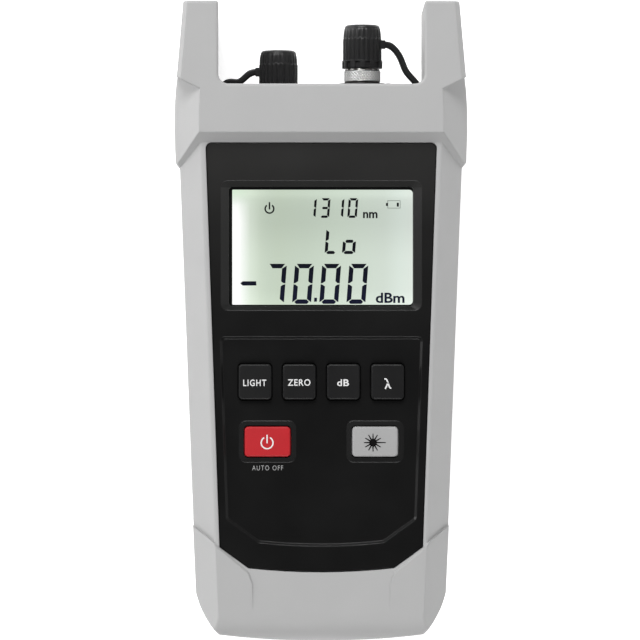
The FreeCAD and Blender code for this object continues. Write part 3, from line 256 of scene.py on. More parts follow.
def metal(name, colour, roughness, scale=1500.0, stretch=(1.0, 1.0, 1.0)):
    """Bare metal with fine marks, which a stretch turns into the rings of a lathe."""
    shader = Shader(name, roughness, 1.0)
    shader.tint(colour, 0.05, 300.0)
    shader.relief(shader.noise(scale, 3.0, 0.6, stretch), 0.02, 0.4, 0.1)
    shader.gloss(roughness * 0.8, roughness * 1.2, 700.0)
    return shader.material


# name, colour, roughness, grain depth, grain scale, corner radius, drift of tone, specular level
boot_material = moulded("boot_silicone", grey(0.4), 0.55, 0.05, 2600.0, 0.7, 0.012, 0.3)
rear_material = moulded("rear_plastic", (0.012, 0.012, 0.0122), 0.55, 0.12, 1500.0, 0.3, 0.06, 0.25)
cover_material = moulded("cover_plastic", (0.0125, 0.0125, 0.0127), 0.52, 0.12, 1500.0, 0.3, 0.06, 0.25)
key_material = moulded("black_key_silicone", (0.0065, 0.0065, 0.0068), 0.46, 0.04, 2500.0, specular=0.26)
red_key_material = moulded("red_key_silicone", (0.44, 0.016, 0.022), 0.5, 0.04, 2500.0, 0.0, 0.03, 0.25)
grey_key_material = moulded("grey_key_silicone", grey(0.35), 0.5, 0.04, 2500.0, 0.0, 0.03, 0.3)
strap_material = moulded("strap_rubber", (0.010, 0.010, 0.0104), 0.45, 0.04, 2200.0, 0.2, 0.08, 0.3)
cap_material = moulded("cap_rubber", (0.0135, 0.0135, 0.0139), 0.42, 0.04, 2200.0, 0.2, 0.08, 0.4)
mat_material = moulded("mat_silicone", (0.03, 0.03, 0.031), 0.6, 0.04, 2000.0)
foam_material = moulded("gasket_foam", grey(0.008), 0.9, 0.2, 3000.0, 0.0, 0.2, 0.1)
carbon_material = moulded("carbon_pill", grey(0.01), 0.7, 0.05, 2500.0, 0.0, 0.1)
chip_material = moulded("chip_epoxy", (0.015, 0.015, 0.016), 0.55, 0.04, 4000.0, 0.1, 0.1)
white_plastic = moulded("light_box", (0.8, 0.82, 0.78), 0.4, 0.04, 2000.0, 0.2, 0.03)
zebra_material = moulded("zebra_rubber", (0.08, 0.08, 0.09), 0.7, 0.05, 3000.0, 0.0, 0.2)
# name, colour, roughness, and for turned brass the scale and stretch of its marks
nickel_material = metal("nickel_plate", (0.72, 0.71, 0.69), 0.24)
steel_material = metal("zinc_steel", (0.62, 0.62, 0.63), 0.34)
brass_material = metal("turned_brass", (0.74, 0.53, 0.25), 0.28, 1200.0, (0.2, 8.0, 0.2))

# ---------------------------------------------------------------- materials with marks of their own
PAINTED_REFLECTION_SPAN = (-78.0, 54.0)  # foot and far end of the panel, over which a painted reflection lightens it
COLLARS = ((15.9, -35.4), (9.8, 7.4))  # collars round the two wide keys: centre and half size
COLLAR_FOOT_Z = 42.95
FAR_LIP = ((0.0, 42.4), (33.0, 2.6))  # strip at the far side of the display recess
FAR_LIP_TOP_Z = 43.55
THREAD_PITCH = 0.75
SLEEVE_HALF = 24.3  # from a cell's middle to the end of its sleeve
BAND_START = 12.0  # from a cell's middle to the coloured band at its positive end
KNURL_SINK = 0.04  # grooves of the knurl lie this far inside the coupler's radius
KNURL_HEIGHT = 0.2


def make_panel_material():
    """Black moulded front with a painted reflection that lightens it towards its far end, matte on the
    collars and the far lip.
    """
    shader = Shader("panel_plastic", specular=0.4)
    # painted reflection: the base colour grows lighter towards the far end of the panel
    tone = shader.ramp(
        shader.share("Y", *PAINTED_REFLECTION_SPAN),
        [
            (0.0, (0.0018, 0.0018, 0.0018)),
            (0.55, (0.0022, 0.0022, 0.0023)),
            (0.8, (0.008, 0.0079, 0.0077)),
            (0.95, (0.018, 0.0177, 0.0172)),
        ],
    )
    drift = shader.cloud(grey(0.94), grey(1.0), TONE_SCALE, 3.0)
    shader.feed("Base Color", shader.mix(1.0, tone, drift, "MULTIPLY"))
    height = shader.axis("Z")
    raised = shader.math("GREATER_THAN", height, COLLAR_FOOT_Z * MM)
    sunk = shader.math("LESS_THAN", height, FAR_LIP_TOP_Z * MM)
    collars = shader.math("MULTIPLY", shader.patch(*COLLARS), raised)
    far_lip = shader.math("MULTIPLY", shader.patch(*FAR_LIP), sunk)
    matte = shader.math("MULTIPLY", shader.math("MAXIMUM", collars, far_lip), 0.6)
    grain = shader.remap(shader.noise(GLOSS_SCALE), NOISE_SPAN, (0.33, 0.37))
    shader.feed("Roughness", shader.math("ADD", grain, matte, clamp=True))
    shader.relief(shader.noise(3200.0), 0.03, 0.5, 0.3)
    return shader.material


def make_knurl_material():
    """Nickel with painted shade in the grooves between the diamonds of the knurl."""
    shader = Shader("knurled_nickel", 0.42, 0.4)
    low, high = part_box("laser_coupler")
    x = shader.math("SUBTRACT", shader.axis("X"), (low.x + high.x) / 2)
    z = shader.math("SUBTRACT", shader.axis("Z"), (low.z + high.z) / 2)
    square = shader.math("ADD", shader.math("MULTIPLY", x, x), shader.math("MULTIPLY", z, z))
    groove_radius = (high.x - low.x) / 2 - KNURL_SINK * MM
    depth = shader.math("SUBTRACT", shader.math("SQRT", square), groove_radius)
    rise = shader.math("DIVIDE", depth, KNURL_HEIGHT * MM, clamp=True)
    # painted shade: the base colour goes near black down in the grooves and light on the diamonds
    shader.feed("Base Color", shader.ramp(rise, [(0.12, grey(0.015)), (0.3, grey(0.12)), (0.42, grey(0.9))]))
    shader.relief(shader.noise(1500.0), 0.01)
    return shader.material


def make_ceramic():
    shader = Shader("zirconia", 0.16)
    shader.tint((0.86, 0.85, 0.82), 0.02, 400.0)
    shader.bsdf.inputs["Coat Weight"].default_value = 0.4
    shader.relief(shader.noise(3000.0), 0.01)
    return shader.material


def make_board_material():
    """Green solder mask with raised copper runs."""
    shader = Shader("circuit_board", 0.3)
    brick = shader.add("ShaderNodeTexBrick", offset=0.37)
    brick.inputs["Scale"].default_value = 260.0
    brick.inputs["Mortar Size"].default_value = 0.035
    brick.inputs["Color1"].default_value = (0.006, 0.075, 0.028, 1.0)
    brick.inputs["Color2"].default_value = (0.008, 0.09, 0.034, 1.0)
    brick.inputs["Mortar"].default_value = (0.03, 0.19, 0.07, 1.0)
    shader.link(shader.place, brick.inputs["Vector"])
    shader.feed("Base Color", brick.outputs["Color"])
    shader.relief(brick.outputs["Fac"], 0.04, 0.6)
    return shader.material


def make_lens_material():
    """Clear acrylic that lets the display show with a faint reflection."""
    shader = Shader("clear_acrylic", 0.06)
    shader.feed("Base Color", shader.cloud((0.018, 0.019, 0.019), (0.022, 0.023, 0.023), 40.0))
    shader.bsdf.inputs["Alpha"].default_value = 0.1
    return shader.material


def make_display_material():
    """Backlit grey-green display: white along its left edge, dimmer in the middle."""
    shader = Shader("lit_display", 0.35)
    across = shader.share("X", *VIEW_AREA[:2])
    up = shader.share("Y", *VIEW_AREA[2:])
    base = shader.ramp(
        across,
        [
            (0.0, (0.68, 0.82, 0.66)),
            (0.10, (0.66, 0.76, 0.63)),
            (0.15, (0.60, 0.69, 0.57)),
            (0.20, (0.558, 0.645, 0.533)),
            (0.25, (0.546, 0.631, 0.515)),
            (0.40, (0.558, 0.645, 0.539)),
            (0.60, (0.604, 0.694, 0.591)),
            (0.84, (0.638, 0.716, 0.638)),
            (0.93, (0.70, 0.785, 0.715)),
            (1.0, (0.74, 0.81, 0.745)),
        ],
    )
    # each pair is a place on the display, as a share of its width or height, and a tone
    fall = (
        (0.0, 0.95),
        (0.05, 0.92),
        (0.13, 0.86),
        (0.40, 0.84),
        (0.50, 0.81),
        (0.60, 0.77),
        (0.71, 0.73),
        (0.83, 0.73),
        (0.91, 0.77),
        (0.96, 0.88),
    )
    edge = ((0.0, 1.0), (0.032, 0.95), (0.05, 0.7), (0.10, 0.12), (0.16, 0.0))
    edge_reach = ((0.72, 1.0), (0.86, 0.75), (0.93, 0.25), (0.97, 0.0))
    dimmed = shader.mix(1.0, base, shader.ramp(up, [(place, grey(tone)) for place, tone in fall]), "MULTIPLY")
    glow = shader.ramp(across, [(place, grey(tone)) for place, tone in edge])
    reach = shader.ramp(up, [(place, grey(tone)) for place, tone in edge_reach])
    white = shader.cloud(grey(0.9), grey(0.93), 60.0, 1.0)
    shader.feed("Emission Color", shader.mix(shader.math("MULTIPLY", glow, reach), dimmed, white))
    shader.bsdf.inputs["Emission Strength"].default_value = 1.44
    shader.bsdf.inputs["Base Color"].default_value = (0.01, 0.011, 0.01, 1.0)
    shader.relief(shader.noise(2500.0), 0.01)
    return shader.material


def make_segment_material():
    """Liquid-crystal segments: near black high on the display, navy lower down."""
    shader = Shader("segment_ink", 0.45, 0.0, 0.1)
    colour = shader.ramp(
        shader.share("Y", *VIEW_AREA[2:]),
        [
            (0.03, (0.010, 0.013, 0.045)),
            (0.16, (0.004, 0.006, 0.02)),
            (0.45, (0.001, 0.002, 0.007)),
            (0.9, (0.0005, 0.0015, 0.003)),
        ],
    )
    shader.feed("Base Color", colour)
    shader.relief(shader.noise(4000.0), 0.01)
    return shader.material


def make_cell_material(name):
    """AA cell: bare steel at its ends, a dark sleeve between, and a copper-coloured band."""
    shader = Shader(name, 0.3)
    low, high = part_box(name)
    along = shader.math("SUBTRACT", shader.axis("Y"), (low.y + high.y) / 2)
    steel = shader.math("GREATER_THAN", shader.math("ABSOLUTE", along), SLEEVE_HALF * MM)
    positive = -1.0 if name.endswith("2") else 1.0  # the middle cell points the other way
    band = shader.math("GREATER_THAN", shader.math("MULTIPLY", along, positive), BAND_START * MM)
    sleeve = shader.mix(band, (0.02, 0.022, 0.026), (0.42, 0.2, 0.07))
    shader.feed("Base Color", shader.mix(steel, sleeve, (0.6, 0.6, 0.61)))
    shader.feed("Metallic", steel)
    shader.relief(shader.noise(900.0), 0.03)
    return shader.material


def make_threaded_nickel():
    """Bright nickel whose outside carries a fine screw thread along Y."""
    shader = Shader("threaded_nickel", 0.22, 1.0)
    shader.tint((0.72, 0.71, 0.69), 0.05, 300.0)
    turn = shader.math("MULTIPLY", shader.axis("Y"), 2 * math.pi / (THREAD_PITCH * MM))
    shader.relief(shader.math("SINE", turn), 0.12, 1.0)
    return shader.material


def make_ink(name, colour):
    """Printing ink."""
    shader = Shader(name, 0.55, 0.0, 0.08)
    shader.tint(colour, 0.03, 500.0)
    shader.relief(shader.noise(4000.0), 0.01)
    return shader.material


white_ink = make_ink("white_ink", grey(0.72))
faint_ink = make_ink("faint_white_ink", grey(0.42))
black_ink = make_ink("black_ink", grey(0.003))
border_ink = make_ink("border_ink", grey(0.009))
thin_ink = make_ink("thin_segment_ink", (0.16, 0.18, 0.16))
segment_ink = make_segment_material()


# ---------------------------------------------------------------- CAD solids
def paint(material, *names):
    """Gives CAD nodes a material in place of the one they came with."""
    for name in names:
        slots = NODES[name].data.materials
        slots.clear()
        slots.append(material)


paint(boot_material, "protective_boot")
paint(make_panel_material(), "front_case")
paint(rear_material, "rear_case")
paint(cover_material, "battery_cover")
paint(make_lens_material(), "display_window")
paint(make_display_material(), "lcd_glass")
paint(foam_material, "display_gasket")
paint(white_plastic, "lcd_backlight", "lcd_frame")
paint(zebra_material, "zebra_strips")
paint(make_board_material(), "main_board", "laser_driver_board")
paint(chip_material, "controller_chips")
paint(steel_material, "case_screws", "board_screws", "battery_contacts_top", "battery_contacts_bottom")
paint(steel_material, "photodiode", "laser_diode")
paint(nickel_material, "detector_nut", "laser_nut")
paint(make_threaded_nickel(), "detector_socket", "laser_coupler")
paint(brass_material, "laser_barrel")
paint(make_ceramic(), "ceramic_sleeve")
paint(mat_material, "keypad_mat")
paint(cap_material, "detector_dust_cap", "laser_dust_cap")
for key in ("light_key", "zero_key", "db_key", "wavelength_key"):
    paint(key_material, key)
    paint(carbon_material, key + "_contact")
paint(red_key_material, "power_key")
paint(grey_key_material, "laser_key")
paint(carbon_material, "power_key_contact", "laser_key_contact")
for cell in ("battery_cell_1", "battery_cell_2", "battery_cell_3"):
    paint(make_cell_material(cell), cell)


# ---------------------------------------------------------------- mesh helpers
PRINT_LIFT = 0.03  # print stands up this far
PRINT_SINK = 0.01  # and reaches this far into what carries it


def add_mesh(name, mesh, material, body):
    """Links a finished mesh as a piece that rides on a body."""
    piece = bpy.data.objects.new(name, mesh)
    bpy.context.scene.collection.objects.link(piece)
    mesh.materials.clear()
    mesh.materials.append(material)
    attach(piece, body)


def add_build(name, build, material, body, smooth=False):
    """Turns the faces of a bmesh outwards and makes it a piece."""
    bmesh.ops.recalc_face_normals(build, faces=build.faces)
    for face in build.faces:
        face.smooth = smooth
    mesh = bpy.data.meshes.new(name)
    build.to_mesh(mesh)
    build.free()
    add_mesh(name, mesh, material, body)


def add_ring(build, points):
    """Vertices from points in millimetres."""
    return [build.verts.new((x * MM, y * MM, z * MM)) for x, y, z in points]


def skin(build, rings, closed=False):
    """Quads between neighbouring rings, and if closed from the last one to the first."""
    count = len(rings[0])
    following = rings[1:] + rings[:1] if closed else rings[1:]
    for lower, upper in zip(rings, following):
        for i in range(count):
            j = (i + 1) % count
            build.faces.new((lower[i], upper[i], upper[j], lower[j]))


def print_shapes(name, shapes, z, material, body, lift=PRINT_LIFT):
    """Thin raised print on the height z, made of flat outlines."""
    build = bmesh.new()
    for outline in shapes:
        lower = add_ring(build, [(x, y, z - PRINT_SINK) for x, y in outline])
        upper = add_ring(build, [(x, y, z + lift) for x, y in outline])
        build.faces.new(upper)
        skin(build, [lower, upper])
    add_build(name, build, material, body)


def lettering(name, text, centre, size, z, material, body, weight=0.0, spacing=1.0, lift=PRINT_LIFT):
    """Raised lettering scaled to fill a box of a given size on the height z."""
    curve = bpy.data.curves.new(name, "FONT")
    curve.body = text
    curve.size = 1.0
    curve.offset = weight
    curve.space_character = spacing
    curve.extrude = 0.5  # half of a thickness of 1, which the scale below brings to the lift
    curve.resolution_u = 6
    maker = bpy.data.objects.new(name + "_maker", curve)
    bpy.context.scene.collection.objects.link(maker)
    bpy.context.view_layer.update()
    mesh = bpy.data.meshes.new_from_object(maker)
    bpy.data.objects.remove(maker)
    bpy.data.curves.remove(curve)
    xs = [vertex.co.x for vertex in mesh.vertices]
    ys = [vertex.co.y for vertex in mesh.vertices]
    middle = Vector(((min(xs) + max(xs)) / 2, (min(ys) + max(ys)) / 2, 0.0))
    scale = Matrix.Diagonal((size[0] / (max(xs) - min(xs)), size[1] / (max(ys) - min(ys)), lift, 1.0))
    place = Matrix.Translation((centre[0], centre[1], z + lift / 2))
    mesh.transform(Matrix.Scale(MM, 4) @ place @ scale @ Matrix.Translation(-middle))
    mesh.name = name
    add_mesh(name, mesh, material, body)


# ---------------------------------------------------------------- outlines
def polar(centre, radius, angle):
    return (centre[0] + radius * math.cos(angle), centre[1] + radius * math.sin(angle))


def arc(centre, radius, width, start, end, steps=28):
    """Closed outline of part of a ring; angles in degrees, anticlockwise from +X."""
    angles = [math.radians(start + (end - start) * i / steps) for i in range(steps + 1)]
    outer = [polar(centre, radius + width / 2, angle) for angle in angles]
    inner = [polar(centre, radius - width / 2, angle) for angle in angles]
    return outer + inner[::-1]


def disc(centre, radius, steps=32):
    return [polar(centre, radius, 2 * math.pi * i / steps) for i in range(steps)]


def bar(start, end, width, tip=None):
    """Outline of a straight stroke; tip is its width at the far end."""
    tip = width if tip is None else tip
    dx, dy = end[0] - start[0], end[1] - start[1]
    length = math.hypot(dx, dy)
    nx, ny = -dy / length / 2, dx / length / 2
    return [
        (start[0] + nx * width, start[1] + ny * width),
        (start[0] - nx * width, start[1] - ny * width),
        (end[0] - nx * tip, end[1] - ny * tip),
        (end[0] + nx * tip, end[1] + ny * tip),
    ]


def power_symbol(centre, radius, width, opening, low, high):
    """Ring open at the top by some degrees to each side, and an upright bar from low to high."""
    return [
        arc(centre, radius, width, 90 + opening, 450 - opening),
        bar((centre[0], low), (centre[0], high), width),
    ]


def ribbon(points, width):
    """Outline of one even stroke through some points."""
    left, right = [], []
    for i, (x, y) in enumerate(points):
        ax, ay = points[max(i - 1, 0)]
        bx, by = points[min(i + 1, len(points) - 1)]
        length = math.hypot(bx - ax, by - ay)
        nx, ny = -(by - ay) / length * width / 2, (bx - ax) / length * width / 2
        left.append((x + nx, y + ny))
        right.append((x - nx, y - ny))
    return left + right[::-1]


def rounded(left, right, low, high, radii, steps=7):
    """Rounded rectangle; radii run anticlockwise from the lower left corner."""
    corners = [(left, low, 180), (right, low, 270), (right, high, 0), (left, high, 90)]
    outline = []
    for (x, y, start), radius in zip(corners, radii):
        centre = (x + radius if x == left else x - radius, y + radius if y == low else y - radius)
        angles = [math.radians(start + 90 * i / steps) for i in range(steps + 1)]
        outline += [polar(centre, radius, angle) for angle in angles]
    return outline


SLANT = math.tan(math.radians(4.4))  # lean of the figures
FIGURES = {"0": "abcdef", "1": "bc", "3": "abcdg", "7": "abc", "L": "fed", "o": "gcde"}  # lit segments


def figure(sign, corner, size, gap):
    """Outlines of the lit segments of one seven-segment figure.

    Its size is its width w, height h and stroke t; g is the gap and m the middle's height.
    """
    w, h, t = size
    g = gap
    m = h / 2
    shapes = {
        "a": [(0.3 * t + g, h), (w - 0.3 * t - g, h), (w - t - g, h - t), (t + g, h - t)],
        "b": [
            (w, h - 0.3 * t - g),
            (w, m + g),
            (w - t * 0.55, m + g + 0.1 * t),
            (w - t, m + g + 0.5 * t),
            (w - t, h - t - g),
        ],
        "c": [
            (w, m - g),
            (w, 0.3 * t + g),
            (w - 0.3 * t, 0.45 * t + g),
            (w - t, t + g),
            (w - t, m - g - 0.5 * t),
            (w - t * 0.55, m - g - 0.1 * t),
        ],
        "d": [
            (t + g, t),
            (w - t - g, t),
            (w - 0.4 * t - g, 0.45 * t),
            (w - 0.8 * t - g, 0),
            (0.8 * t + g, 0),
            (0.4 * t + g, 0.45 * t),
        ],
        "e": [
            (0, m - g),
            (t * 0.45, m - g - 0.1 * t),
            (t, m - g - 0.5 * t),
            (t, t + g),
            (0.3 * t, 0.45 * t + g),
            (0, 0.3 * t + g),
        ],
        "f": [
            (0, m + g),
            (0, h - 0.3 * t - g),
            (t, h - t - g),
            (t, m + g + 0.5 * t),
            (t * 0.45, m + g + 0.1 * t),
        ],
        "g": [
            (t * 0.7 + g, m),
            (t + g, m + t / 2),
            (w - t - g, m + t / 2),
            (w - t * 0.7 - g, m),
            (w - t - g, m - t / 2),
            (t + g, m - t / 2),
        ],
    }
    return [[(corner[0] + x + y * SLANT, corner[1] + y) for x, y in shapes[name]] for name in FIGURES[sign]]


# ---------------------------------------------------------------- display
GLASS_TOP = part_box("lcd_glass")[1].z / MM
WINDOW_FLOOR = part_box("display_window")[0].z / MM
BORDER_EDGE = (-28.3, 28.3, 3.7, 41.0)  # left, right, low, high
READING_FOOT = 5.34
READING_SIZE = (5.64, 11.9, 1.34)  # width, height and stroke of a figure
DECIMAL_POINT = [(-2.1, 5.99), (-1.25, 5.99), (-1.18, 7.18), (-2.03, 7.18)]
MINUS_SIGN = [(-23.95, 11.42), (-23.25, 12.05), (-19.25, 12.05), (-19.17, 10.8), (-23.25, 10.77)]
LEVEL_FOOT = 20.13
WAVELENGTH_FOOT = 30.87
WAVELENGTH_SIZE = (2.84, 5.85, 0.7)
CHARGE_BOX = (19.72, 23.55, 33.77, 35.97)  # left, right, low, high
CHARGE_LINE = 0.14


def add_border():
    """Dark mask on the underside of the window, round the lit area."""
    outer = rounded(*BORDER_EDGE, (1.5, 1.5, 1.5, 1.5))
    inner = rounded(*VIEW_AREA, (0.25, 1.1, 1.1, 0.25))
    low, high = WINDOW_FLOOR - 0.09, WINDOW_FLOOR - 0.01
    build = bmesh.new()
    loops = ((outer, low), (inner, low), (inner, high), (outer, high))
    rings = [add_ring(build, [(x, y, z) for x, y in line]) for line, z in loops]
    skin(build, rings, closed=True)
    add_build("display_border", build, border_ink, METER)


def add_reading():
    """The large figures of the power reading."""
    shapes = []
    for sign, x in (("7", -16.69), ("0", -8.63), ("0", -0.57), ("0", 7.49)):
        shapes += figure(sign, (x, READING_FOOT), READING_SIZE, 0.12)
    shapes += [DECIMAL_POINT, MINUS_SIGN]
    print_shapes("reading_segments", shapes, GLASS_TOP, segment_ink, METER)


def add_lines():
    """The wavelength, the word for a low level, and the sign for automatic switching off."""
    shapes = []
    for sign, x in (("1", -4.5), ("3", -0.46), ("1", 3.67), ("0", 7.76)):
        shapes += figure(sign, (x, WAVELENGTH_FOOT), WAVELENGTH_SIZE, 0.06)
    shapes += figure("L", (1.02, LEVEL_FOOT), (3.62, 7.58, 0.94), 0.1)
    shapes += figure("o", (6.18, LEVEL_FOOT), (3.9, 7.58, 0.94), 0.09)
    shapes += power_symbol((-15.31, 33.55), radius=1.28, width=0.46, opening=37, low=33.37, high=35.53)
    print_shapes("line_segments", shapes, GLASS_TOP, segment_ink, METER)


def add_charge():
    """Battery sign: thin outline, one bar and the pole."""
    left, right, low, high = CHARGE_BOX
    inset = CHARGE_LINE / 2
    outline = [bar((left, y), (right, y), CHARGE_LINE) for y in (low, high)]
    outline += [bar((x, low), (x, high), CHARGE_LINE) for x in (left + inset, right - inset)]
    print_shapes("charge_outline", outline, GLASS_TOP, thin_ink, METER)
    blocks = [bar((22.78, 34.2), (22.78, 35.39), 0.62), bar((19.57, 34.41), (19.57, 35.3), 0.62)]
    print_shapes("charge_bar", blocks, GLASS_TOP, segment_ink, METER, 0.04)


add_border()
add_reading()
add_lines()
lettering("unit_nm", "nm", (14.6, 31.7), (4.3, 1.84), GLASS_TOP, segment_ink, METER, 0.03)
lettering("unit_dbm", "dBm", (20.5, 7.15), (8.55, 3.03), GLASS_TOP, segment_ink, METER, 0.025)
add_charge()

# ---------------------------------------------------------------- printed legends
KEY_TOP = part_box("light_key")[1].z / MM
WIDE_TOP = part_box("power_key")[1].z / MM
TRAY_DEPTH = 0.7  # the tray's face lies this far below the panel's highest one
TRAY_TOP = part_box("front_case")[1].z / MM - TRAY_DEPTH
KEY_WORDS = (  # name, text, centre, size, body, weight, spacing
    ("legend_light", "LIGHT", (-19.67, -18.0), (6.8, 1.95), "light_key_body", 0.014, 1.2),
    ("legend_zero", "ZERO", (-6.57, -17.9), (6.7, 1.95), "zero_key_body", 0.014, 1.12),
    ("legend_db", "dB", (6.42, -17.95), (3.5, 2.0), "db_key_body", 0.016, 1.06),
)
AUTO_OFF_CENTRE = (-15.87, -43.18)
AUTO_OFF_SIZE = (9.14, 1.42)
LAMBDA_CENTRE = (19.6, -18.2)
LAMBDA_WIDTH = 0.42
LAMBDA_LONG = (  # from the hook at the top left to the foot at the right
    (-0.98, 1.28),
    (-0.72, 1.38),
    (-0.45, 1.3),
    (-0.24, 1.02),
    (-0.05, 0.55),
    (0.45, -0.85),
    (0.62, -1.2),
    (0.82, -1.38),
    (1.05, -1.36),
)
LAMBDA_SHORT = ((0.08, 0.3), (-0.25, -0.6), (-0.74, -1.6))
BURST_CENTRE = (15.28, -35.68)
BURST_CORE = 1.12
BURST_RAYS = 12
RAY_START = 0.9
RAY_END = 2.66
BEAM_END = 3.8  # the ray that points right is longer


def add_lambda():
    """Greek letter on the wavelength key."""
    shapes = []
    for stroke in (LAMBDA_LONG, LAMBDA_SHORT):
        outline = ribbon(stroke, LAMBDA_WIDTH)
        shapes.append([(LAMBDA_CENTRE[0] + x, LAMBDA_CENTRE[1] + y) for x, y in outline])
    print_shapes("legend_wavelength", shapes, KEY_TOP, white_ink, "wavelength_key_body")


def add_burst():
    """Laser sign: a disc with rays that narrow outwards."""
    shapes = [disc(BURST_CENTRE, BURST_CORE)]
    for i in range(BURST_RAYS):
        angle = 2 * math.pi * i / BURST_RAYS
        start = polar(BURST_CENTRE, RAY_START, angle)
        end = polar(BURST_CENTRE, RAY_END if i else BEAM_END, angle)
        shapes.append(bar(start, end, 0.46, 0.24))
    print_shapes("legend_laser", shapes, WIDE_TOP, black_ink, "laser_key_body")


for name, text, centre, size, body, weight, spacing in KEY_WORDS:
    lettering(name, text, centre, size, KEY_TOP, white_ink, body, weight, spacing)
add_lambda()
power_sign = power_symbol((-16.03, -35.72), radius=1.75, width=0.39, opening=30, low=-35.86, high=-33.35)
print_shapes("legend_power", power_sign, WIDE_TOP, white_ink, "power_key_body")
add_burst()
lettering(
    "legend_auto_off", "AUTO OFF", AUTO_OFF_CENTRE, AUTO_OFF_SIZE, TRAY_TOP, faint_ink, METER, -0.01, 1.25
)

# ---------------------------------------------------------------- knurled band
KNURL_START = 0.5  # from the coupler's end at the case
KNURL_LENGTH = 3.3
KNURL_REPEAT = 4  # steps from one diamond to the next
KNURL_AROUND = 34 * KNURL_REPEAT
KNURL_ALONG = 14


def add_knurled_band():
    """Diamond knurl round the coupling ring."""
    low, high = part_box("laser_coupler")
    axis = ((low.x + high.x) / 2 / MM, (low.z + high.z) / 2 / MM)
    groove_radius = (high.x - low.x) / 2 / MM - KNURL_SINK
    half = KNURL_REPEAT / 2
    build = bmesh.new()
    rings = []
    for j in range(KNURL_ALONG + 1):
        y = low.y / MM + KNURL_START + KNURL_LENGTH * j / KNURL_ALONG
        points = []
        for i in range(KNURL_AROUND):
            rise = 0.0
            if 0 < j < KNURL_ALONG:
                first = abs((i + j) % KNURL_REPEAT - half) / half
                second = abs((i - j) % KNURL_REPEAT - half) / half
                rise = KNURL_HEIGHT * min(first, second)
            x, z = polar(axis, groove_radius + rise, 2 * math.pi * i / KNURL_AROUND)
            points.append((x, y, z))
        rings.append(add_ring(build, points))
    skin(build, rings)
    add_build("knurled_band", build, make_knurl_material(), "coupler")


add_knurled_band()

# ---------------------------------------------------------------- ribs on the cap necks
PORT_X = 12.6  # the two ports lie this far to the left and right
PORT_Z = 24.0
NECK_RIBS = 24
STEPS_PER_RIB = 8
NECK_PROFILE = (  # along the cap, radius at the rib tops, depth between ribs
    (8.3, 5.0, 0.0),
    (8.35, 5.66, 0.3),
    (9.2, 5.66, 0.28),
    (10.3, 5.6, 0.24),
    (11.2, 5.5, 0.16),
    (11.9, 5.36, 0.06),
    (12.35, 5.1, 0.0),
)


def neck_ribs(name, cap, port_x, body):
    """Sleeve that carries the ribs of a dust cap on over its neck, shallower towards the tip."""
    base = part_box(cap)[0].y / MM
    steps = NECK_RIBS * STEPS_PER_RIB
    build = bmesh.new()
    rings = []
    for y, radius, depth in NECK_PROFILE:
        points = []
        for i in range(steps):
            angle = 2 * math.pi * i / steps
            groove = depth * (0.5 - 0.5 * math.cos(NECK_RIBS * angle))
            x, z = polar((port_x, PORT_Z), radius - groove, angle)
            points.append((x, base + y, z))
        rings.append(add_ring(build, points))
    skin(build, rings, closed=True)
    add_build(name, build, cap_material, body, smooth=True)


neck_ribs("detector_neck_ribs", "detector_dust_cap", -PORT_X, "detector_cap")
neck_ribs("laser_neck_ribs", "laser_dust_cap", PORT_X, "laser_cap")

# ---------------------------------------------------------------- tethers
CAP_END_X = 21.5  # a tether's cap end lies inside this
LET_IN = 0.4  # how far that end is moved into the cap's lug,
LET_IN_SLOPE = 0.25  # growing by this much for each millimetre inwards


def soft_tether(node, start_y):
    """Copy of the tether between the meter and its cap, its cap end let into the lug."""
    mesh = NODES[node].data.copy()
    mesh.name = node + "_soft"
    mesh.materials.clear()
    mesh.materials.append(strap_material)
    low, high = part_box(node)
    side = 1.0 if high.x > 0.0 else -1.0
    for vertex in mesh.vertices:
        inward = CAP_END_X * MM - side * vertex.co.x
        if inward > 0 and vertex.co.y > start_y * MM:
            vertex.co.x -= side * min(LET_IN * MM, inward * LET_IN_SLOPE)
    piece = bpy.data.objects.new(node + "_soft", mesh)
    bpy.context.scene.collection.objects.link(piece)
    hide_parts(node)
    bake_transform(piece)


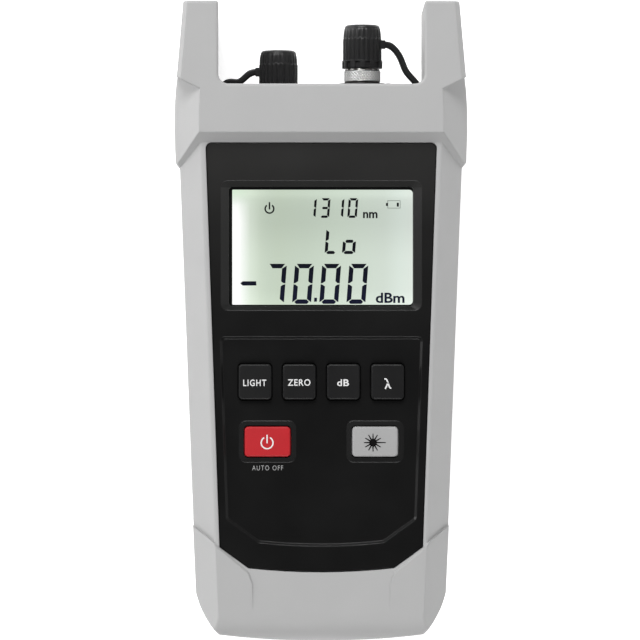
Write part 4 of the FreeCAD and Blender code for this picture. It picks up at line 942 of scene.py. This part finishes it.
soft_tether("detector_cap_tether", 67.6)
soft_tether("laser_cap_tether", 71.9)


# ---------------------------------------------------------------- studio
def add_floor():
    """Pale floor that glows a little, so that it stays white round the meter."""
    corners = [(x * FLOOR_REACH, y * FLOOR_REACH, 0.0) for x, y in ((-1, -1), (1, -1), (1, 1), (-1, 1))]
    mesh = bpy.data.meshes.new("floor")
    mesh.from_pydata(corners, [], [(0, 1, 2, 3)])
    shader = Shader("floor_paper", 0.8)
    shader.tint(grey(0.95), 0.01, 3.0)
    shader.bsdf.inputs["Emission Color"].default_value = (1.0, 1.0, 1.0, 1.0)
    shader.bsdf.inputs["Emission Strength"].default_value = FLOOR_GLOW
    mesh.materials.append(shader.material)
    floor = bpy.data.objects.new("floor", mesh)
    bpy.context.scene.collection.objects.link(floor)
    floor.location.z = -FLOOR_DROP


def add_room():
    """White room, dim straight overhead and brighter to the left and right."""
    world = bpy.data.worlds.new("studio")
    bpy.context.scene.world = world
    world.use_nodes = True
    room = Nodes(world.node_tree)
    background = room.tree.nodes["Background"]
    background.inputs["Color"].default_value = (1.0, 1.0, 1.0, 1.0)
    split = room.add("ShaderNodeSeparateXYZ")
    room.link(room.add("ShaderNodeTexCoord").outputs["Generated"], split.inputs[0])
    levels = (ROOM_LIGHT, ROOM_LIGHT * OVERHEAD_SHARE)
    dim = room.remap(split.outputs["Z"], UPWARD, levels, interpolation_type="SMOOTHSTEP")
    sides = room.remap(room.math("ABSOLUTE", split.outputs["X"]), SIDEWAYS, SIDE_LEVELS)
    room.link(room.math("MULTIPLY", dim, sides), background.inputs["Strength"])


def softbox(name, place, size, power):
    """Large square area light aimed at the meter."""
    data = bpy.data.lights.new(name, "AREA")
    data.shape = "SQUARE"
    data.size = size
    data.energy = power
    lamp = bpy.data.objects.new(name, data)
    bpy.context.scene.collection.objects.link(lamp)
    lamp.location = place
    lamp.rotation_euler = (LIGHT_AIM - Vector(place)).to_track_quat("-Z", "Y").to_euler()


add_floor()
add_room()
for settings in SOFTBOXES:
    softbox(*settings)
